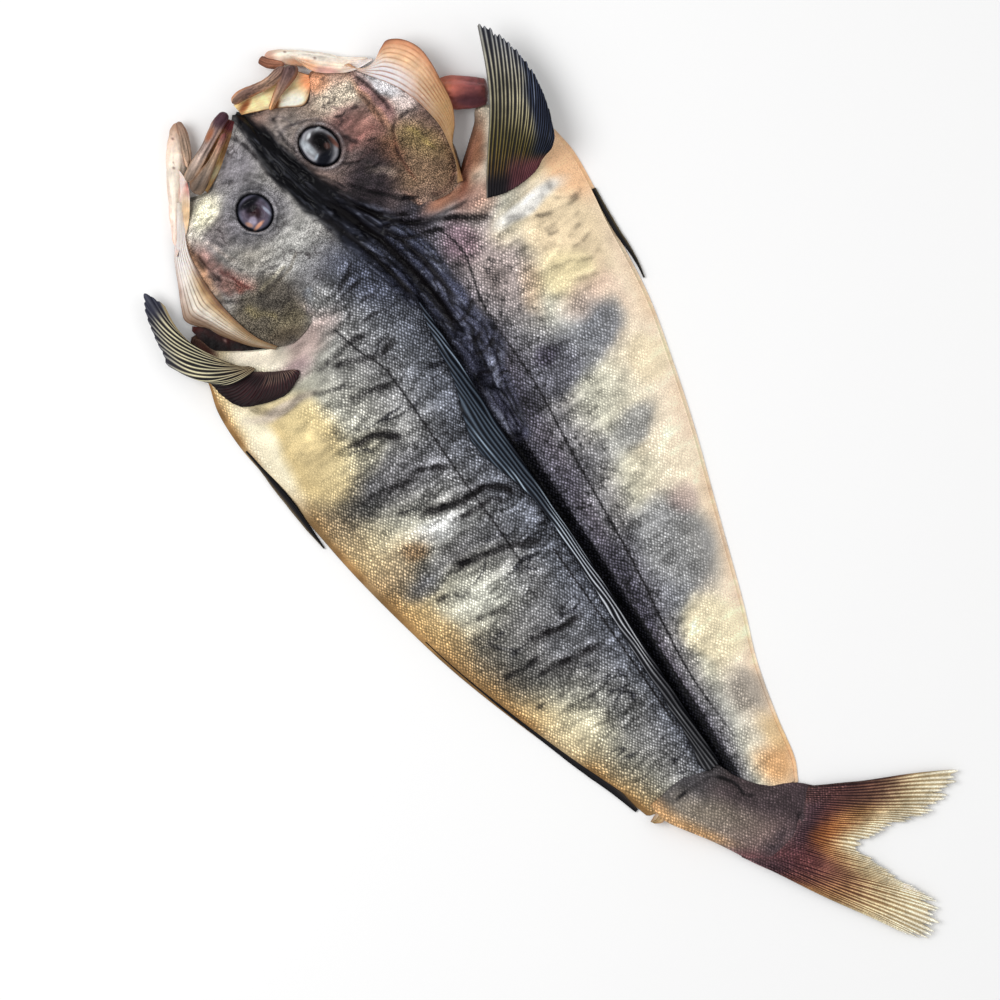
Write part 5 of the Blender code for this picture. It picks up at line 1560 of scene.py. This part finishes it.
def stretched(name, given):
    # thin wrinkled skin between two lines; its heights are those of the front and the back edge
    look = {**sheetLook, **given}
    seed, (low, high) = look["seed"], look["height"]
    u, s = evenly(look["rows"]), evenly(look["columns"])
    a, b = smoothLine(look["front"], u), smoothLine(look["back"], u)
    plan = a[:, None] * (1 - s[None, :, None]) + b[:, None] * s[None, :, None]
    x, y = xy(plan)
    z = low * (1 - s[None]) + high * s[None] + look["bulge"] * grain(x, y, 6, 3, seed=seed)
    z = z + 0.25 * np.sin(2 * math.pi * 4 * s)[None]
    if look["rest"]:
        z = np.maximum(z, restingHeight(plan) + look["rest"])
    cloud = 0.5 + 0.5 * grain(x, y, 7, 3, seed=seed + 1)
    tones = look["tones"]
    tone = rule([(k / (len(tones) - 1), value) for k, value in enumerate(tones)], cloud)
    tone = dabAll(tone, x, y, look["dabs"])
    if look["borderWidth"]:
        near = np.minimum(s, 1 - s)[None] + 0.04 * grain(x, y, 4, 2, seed=seed + 3)
        tone = dab(tone, look["border"], 0.75 * eased((look["borderWidth"] - near) / look["borderWidth"]))
    tone = tone * (1 + 0.10 * grain(x, y, 2.5, 2, seed=seed + 2)
                   + 0.12 * grain(x * 0.4, y * 1.6, 3, 2, seed=seed + 4))[..., None]
    leafPiece(name, plan, z, tone, (0, 0.8, 0.8), 0.8, membrane, [look["node"]])


mouth = {
    "mouthSkin_left": {
        "node": "mouth_skin_left", "height": (5.2, 5.0),
        "front": [(-16.5, 178), (-24, 175), (-33, 170.5), (-42, 166.5)],
        "back": [(-14.5, 174.5), (-22, 169), (-31, 162.5), (-40, 158)],
        "tones": [(120, 70, 62), (206, 164, 110), (240, 216, 162)],
        "dabs": [
            ((96, 44, 48), (-17, 175), (3.5, 3), 0),
            ((240, 214, 150), (-29, 168), (4, 1.6), 30),
            ((244, 226, 180), (-33, 163), (3, 2), 30),
        ],
    },
    "mouthSkin_right": {
        "node": "mouth_skin_right", "height": (5.2, 5.0),
        "front": [(-11.5, 181), (-4, 181), (6, 179.5), (14.5, 180), (20.3, 174)],
        "back": [(-11, 176), (-2, 172.2), (5, 168.5), (12, 165.2), (18.4, 169.5)],
        "tones": [(204, 152, 92), (240, 216, 162), (252, 240, 216)],
        "dabs": [
            ((232, 158, 112), (19, 171), (4, 6), 0),
            ((255, 252, 236), (8, 168.6), (6.5, 4.2), 0),
            ((252, 232, 178), (-3, 176), (5, 2.4), 0),
            ((146, 92, 54), (2, 171), (1.2, 4), -50),
            ((166, 104, 66), (-8, 178), (3.4, 1.2), 20),
        ],
    },
    "lowerJaw_left": {
        "node": "lower_jaw_left", "height": 4.3, "material": membrane, "slot": "membrane",
        "line": [(-34.5, 188.3, 2.1), (-37.3, 183.5, 3.1), (-42, 176.5, 3.9), (-48, 169.0, 3.3),
                 (-53, 162, 2.4), (-58, 154.5, 1.6), (-62.5, 147.5, 0.9)],
        "tones": [(0, (202, 164, 140)), (0.2, (230, 208, 190)), (0.6, (238, 224, 208)),
                  (1, (232, 204, 190))],
        "pores": [(-39.2, 183.5), (-45.4, 173.5)],
        "lumps": 0.5, "fibre": 0.15, "flat": 0.9, "edge": (222, 186, 170),
        "dabs": [((226, 184, 172), (-47, 164), (3, 1.8), 30), ((176, 140, 116), (-34, 187), (2.5, 3), 0)],
    },
    "lip_left": {
        "node": "lower_jaw_left", "height": 6.4, "slot": "mouth", "seed": 92, "edge": (120, 84, 66),
        "line": [(-33.6, 188, 1.1), (-34.6, 183.5, 1.7), (-36.8, 178, 1.9), (-39, 173.5, 1.5),
                 (-40.8, 170.5, 0.8)],
        "tones": [(0, (150, 118, 100)), (0.5, (176, 150, 130)), (1, (196, 164, 140))],
    },
    "lowerJaw_right": {
        "node": "lower_jaw_right", "height": 3.4, "material": membrane, "slot": "membrane", "seed": 93,
        "line": [(9.3, 189.9, 2.2), (14.2, 187, 2.7), (21.6, 181.2, 3.0), (28, 175.8, 2.8),
                 (33.5, 171.3, 2.1), (39, 168, 1.3), (43.5, 166.3, 0.7)],
        "tones": [(0, (210, 172, 148)), (0.2, (244, 226, 208)), (0.6, (252, 240, 226)),
                  (1, (240, 214, 198))],
        "pores": [(17.5, 187), (26, 178)], "lumps": 0.5, "fibre": 0.15, "flat": 0.9,
        "dabs": [((224, 170, 136), (20, 180), (6, 1.6), -38), ((206, 160, 140), (10, 189), (2.5, 3), 0)],
    },
    "lip_right": {
        "node": "lower_jaw_right", "height": 5.2, "slot": "mouth", "seed": 94, "edge": (104, 60, 46),
        "line": [(7.4, 190.4, 1.4), (9.4, 187, 1.9), (12.2, 184.4, 1.7), (14.4, 183, 1.0)],
        "tones": [(0, (132, 84, 66)), (1, (170, 120, 96))],
    },
    # skin from the lower jaws on to the gill covers' edges
    "chinSkin_left": {
        "node": "lower_jaw_left", "height": (4.2, 8.0), "rest": 1.1, "borderWidth": 0, "seed": 121,
        "slot": "membrane",
        "front": [(-45.2, 176.5), (-50.5, 168), (-55.5, 160), (-60.5, 152), (-65, 144.5)],
        "back": [(-44.4, 175.8), (-44.4, 165.5), (-49, 157), (-55.5, 149.5), (-64.6, 143.6)],
        "tones": [(232, 204, 196), (238, 226, 218)],
        "dabs": [
            ((214, 162, 152), (-45.5, 163), (2.6, 2.0), 40),
            ((150, 84, 76), (-43.6, 164.6), (1.6, 1.4), 0),
            ((224, 190, 150), (-52, 154), (2.4, 8), -25),
        ],
    },
    "chinSkin_right": {
        "node": "lower_jaw_right", "height": (4.4, 8.0), "rest": 1.1, "borderWidth": 0, "seed": 131,
        "slot": "membrane",
        "front": [(19, 184.5), (27, 178.8), (34, 172), (39, 168.2), (45, 165)],
        "back": [(18.6, 183.6), (22, 174.5), (28, 169), (35.5, 165), (44.6, 164)],
        "tones": [(244, 212, 186), (248, 232, 216)],
        "dabs": [
            ((232, 178, 140), (22, 176), (6, 2.0), -50),
            ((214, 164, 152), (27, 171), (5, 1.6), -40),
            ((226, 216, 214), (40, 162), (7, 6), -20),
        ],
    },
    "upperJaw_left": {
        "node": "upper_jaw_left", "height": 8.6, "seed": 96, "edge": (206, 170, 140),
        "line": [(-15.5, 179.5, 1.8), (-21, 177.8, 2.1), (-30, 172.8, 1.9), (-38, 169, 2.2),
                 (-44.2, 166, 1.7)],
        "tones": [(0, (86, 58, 66)), (0.3, (134, 112, 108)), (0.6, (168, 148, 138)), (1, (142, 124, 110))],
        "dabs": [((72, 46, 56), (-18, 179), (4, 3), 0), ((150, 96, 70), (-26, 176), (3, 1.2), 30)],
    },
    "maxilla_left": {
        "node": "upper_jaw_left", "height": 8.2, "seed": 97, "edge": (150, 110, 80),
        "line": [(-20.5, 173.2, 1.2), (-30, 167.6, 1.3), (-37, 164.0, 2.4), (-42, 162, 3.0),
                 (-44.8, 161.6, 2.0)],
        "tones": [(0, (110, 60, 60)), (0.4, (176, 146, 122)), (0.6, (138, 120, 106)), (1, (110, 92, 80))],
    },
    "upperJaw_right": {
        "node": "upper_jaw_right", "height": 8.4, "seed": 99, "edge": (190, 126, 80),
        "line": [(-11.5, 181.6, 1.4), (-6, 181.8, 2.0), (4, 180.2, 1.8), (10.5, 180.7, 2.3),
                 (13.8, 182, 1.4)],
        "tones": [(0, (150, 118, 98)), (0.3, (124, 96, 86)), (0.6, (166, 134, 114)), (1, (130, 100, 92))],
    },
    "maxilla_right": {
        "node": "upper_jaw_right", "height": 8.4, "seed": 100, "edge": (150, 100, 70),
        "line": [(-0.5, 170.6, 0.8), (4, 173.4, 1.2), (9, 176.0, 1.9), (12.6, 178.0, 2.8),
                 (15.2, 179.6, 3.0), (16, 181, 2.0)],
        "tones": [(0, (190, 140, 96)), (0.4, (166, 132, 112)), (0.7, (126, 98, 92)), (1, (98, 74, 74))],
    },
    "throatBar": {
        "node": "throat", "height": 6.2, "material": meat, "slot": "meat", "seed": 101, "rows": 60,
        "line": [(58.5, 139, 4.8), (63, 136, 6.0), (70, 131, 5.6), (75.5, 127.5, 4.6)],
        "tones": [(0, (160, 90, 66)), (0.4, (160, 90, 80)), (0.7, (132, 74, 74)), (1, (112, 62, 58))],
        "lumps": 0.35, "ridges": 0.05, "fibre": 0.35,
        "dabs": [((188, 110, 78), (60, 140), (4, 3), -30), ((84, 48, 54), (68, 128), (7, 2.4), -35)],
    },
    # white flesh and a scrap of skin at the vent
    "ventScrap": {
        "node": "body", "height": (3.0, 4.4), "borderWidth": 0.15, "border": (150, 112, 84), "bulge": 0.9,
        "seed": 141, "slot": "skin", "rows": 50, "columns": 24,
        "front": [(-36.5, -150.5), (-33, -149), (-30, -147.5), (-27.5, -144)],
        "back": [(-35.5, -152.0), (-32, -153.3), (-28, -149.4), (-26.5, -146)],
        "tones": [(176, 148, 112), (232, 220, 204)],
        "dabs": [
            ((190, 150, 140), (-28.5, -146.5), (2, 2), 0),
            ((186, 158, 116), (-34, -152), (3, 1.5), 0),
        ],
    },
}
for name, look in mouth.items():
    make = stretched if "front" in look else bar
    make(name, look)
print("mouth done")


# eyes: clouded lens in a sunken rim

eyeLook = {
    # tones in rings from the middle out, then spots: tone, offset, radii, turn; some spots are painted
    # highlights and one is a painted shadow
    "left": {
        "rings": [(0, (64, 42, 46)), (0.26, (46, 32, 38)), (0.42, (70, 60, 72)), (0.7, (98, 90, 106)),
                  (0.88, (78, 78, 92)), (0.95, (30, 31, 38)), (1, (60, 64, 78))],
        "spots": [
            # painted shadow inside the top of the rim
            ((14, 14, 20), (0.3, 4.4), (4.6, 1.6), 0),
            ((150, 142, 160), (-2.6, -2.4), (2.0, 1.6), 30),
            # this spot and the next are painted glints low on the lens
            ((214, 156, 128), (-1.6, -5.2), (2.6, 0.7), 10),
            ((196, 150, 132), (-4.6, -2.8), (0.8, 1.6), 30),
            ((150, 156, 172), (4.4, -2.0), (0.6, 2.4), 10),
            ((20, 16, 22), (-0.2, 1.9), (2.4, 1.1), 0),
        ],
        "z": 17.6, "high": 4.2, "sunk": 1.2,
    },
    "right": {
        "rings": [(0, (70, 66, 70)), (0.4, (86, 82, 86)), (0.6, (104, 102, 106)), (0.88, (122, 122, 128)),
                  (0.95, (26, 26, 31)), (1, (60, 58, 64))],
        "spots": [
            ((170, 176, 182), (-4.3, 2.0), (1.7, 4.4), 16),
            ((138, 92, 80), (5.4, -1.6), (0.9, 3.2), 10),
            ((10, 12, 20), (-1.6, -5.4), (4.4, 2.4), 16),
            # painted reflection on the black lower part
            ((160, 170, 180), (-3.6, -3.0), (1.4, 0.5), 30),
            # painted highlight, a thin crescent at the top
            ((172, 176, 180), (3.4, 6.2), (2.8, 0.6), 20),
            ((4, 3, 5), (1.5, 0.8), (3.5, 4.6), 12),
            ((70, 48, 44), (2.4, -1.6), (1.2, 1.4), 0),
            # painted highlight at the top
            ((206, 210, 214), (-1.6, 5.6), (1.6, 0.7), 30),
        ],
        "z": 17.2, "high": 4.0, "sunk": 1.5,
    },
}


def makeEye(side):
    shape, look = eyes[side], eyeLook[side]
    rows, around = 56, 80
    polar = np.linspace(0.02, math.pi - 0.02, rows)[:, None]
    angle = np.linspace(0, 2 * math.pi, around, endpoint=False)[None]
    flatX, flatY = np.sin(polar) * np.cos(angle), np.sin(polar) * np.sin(angle)
    turn = math.radians(shape["turn"])
    dx, dy = flatX * shape["radii"][0], flatY * shape["radii"][1]
    x = shape["centre"][0] + dx * math.cos(turn) - dy * math.sin(turn)
    y = shape["centre"][1] + dx * math.sin(turn) + dy * math.cos(turn)
    r = np.hypot(flatX, flatY) + 0.05 * grain(x, y, 4, 2, seed=112)
    dent = look["sunk"] * fall(r, 0.62, 0.3) * (polar < 1.5)
    z = look["z"] + look["high"] * np.cos(polar) - dent + 0.4 * grain(x, y, 3, 3, seed=111)
    tone = rule(look["rings"], r)
    for colour, offset, radii, spotTurn in look["spots"]:
        spotX, spotY = shape["centre"][0] + offset[0], shape["centre"][1] + offset[1]
        tone = dab(tone, colour, 0.95 * blob(x, y, spotX, spotY, *radii, spotTurn, 0.45))
    tone = tone * (1 + 0.22 * grain(x, y, 2.2, 3, seed=113))[..., None]
    points = np.dstack([x, y, z]).reshape(-1, 3)
    faces, tone = tubeFaces(rows, around), tone.reshape(-1, 3)
    makePiece("eyeball_" + side, points, faces, tone, (0, 0.3, 1), wetEye, ["eye_" + side])


makeEye("left")
makeEye("right")
print("eyes done")


# floor, light and camera

studio = {
    "aim": (-0.0131, -0.0099, 0.008),
    "distance": 1.5,
    "field": 0.400,  # metres across the frame
    "turn": -34.5,
    "key": {"at": (-0.55, 0.5, 1.1), "size": 0.9, "power": 10},
    "fill": {"at": (0.7, -0.5, 1.0), "size": 1.2, "power": 2.2},
    "sky": 0.55,
    "floorTone": (250, 250, 250),
    "floorSize": 3.0,  # metres from the middle to each side
}


def makeFloor():
    mesh = bpy.data.meshes.new("studioFloor")
    size = studio["floorSize"]
    corners = [(-size, -size, 0), (size, -size, 0), (size, size, 0), (-size, size, 0)]
    mesh.from_pydata(corners, [], [(0, 1, 2, 3)])
    material, tree, shader = shaderFor("floorPaint", 0.8, 0.2)
    base = add(tree, "RGB")
    base.outputs[0].default_value = (*linear(studio["floorTone"]), 1)
    cloud = clouds(tree, add(tree, "TexCoord").outputs["Object"], 6.0, 3.0)
    tone = timesPlus(tree, cloud, 0.02, 0.98)
    tree.links.new(times(tree, base.outputs[0], tone), shader.inputs["Base Color"])
    mesh.materials.append(material)
    floor = bpy.data.objects.new("studioFloor", mesh)
    bpy.context.scene.collection.objects.link(floor)


def makeLight(name, look):
    lamp = bpy.data.lights.new(name, "AREA")
    lamp.shape = "DISK"
    lamp.size = look["size"]
    lamp.energy = look["power"]
    light = bpy.data.objects.new(name, lamp)
    light.location = look["at"]
    aim = Vector(studio["aim"]) - Vector(look["at"])
    light.rotation_euler = aim.to_track_quat("-Z", "Y").to_euler()
    bpy.context.scene.collection.objects.link(light)


def makeStudio():
    makeFloor()
    makeLight("key", studio["key"])
    makeLight("fill", studio["fill"])
    scene = bpy.context.scene
    world = bpy.data.worlds.new("studioSky")
    scene.world = world
    world.use_nodes = True
    sky = world.node_tree.nodes["Background"].inputs
    sky["Color"].default_value, sky["Strength"].default_value = (1, 1, 1, 1), studio["sky"]
    lens = bpy.data.cameras.new("camera")
    lens.sensor_fit = "HORIZONTAL"
    lens.angle = 2 * math.atan(studio["field"] / 2 / studio["distance"])
    lens.clip_start = 0.05
    camera = bpy.data.objects.new("camera", lens)
    x, y, z = studio["aim"]
    camera.location = (x, y, z + studio["distance"])
    camera.rotation_euler = (0, 0, math.radians(studio["turn"]))
    scene.collection.objects.link(camera)
    scene.camera = camera
    scene.view_settings.view_transform = "Standard"


makeStudio()
print("studio done")
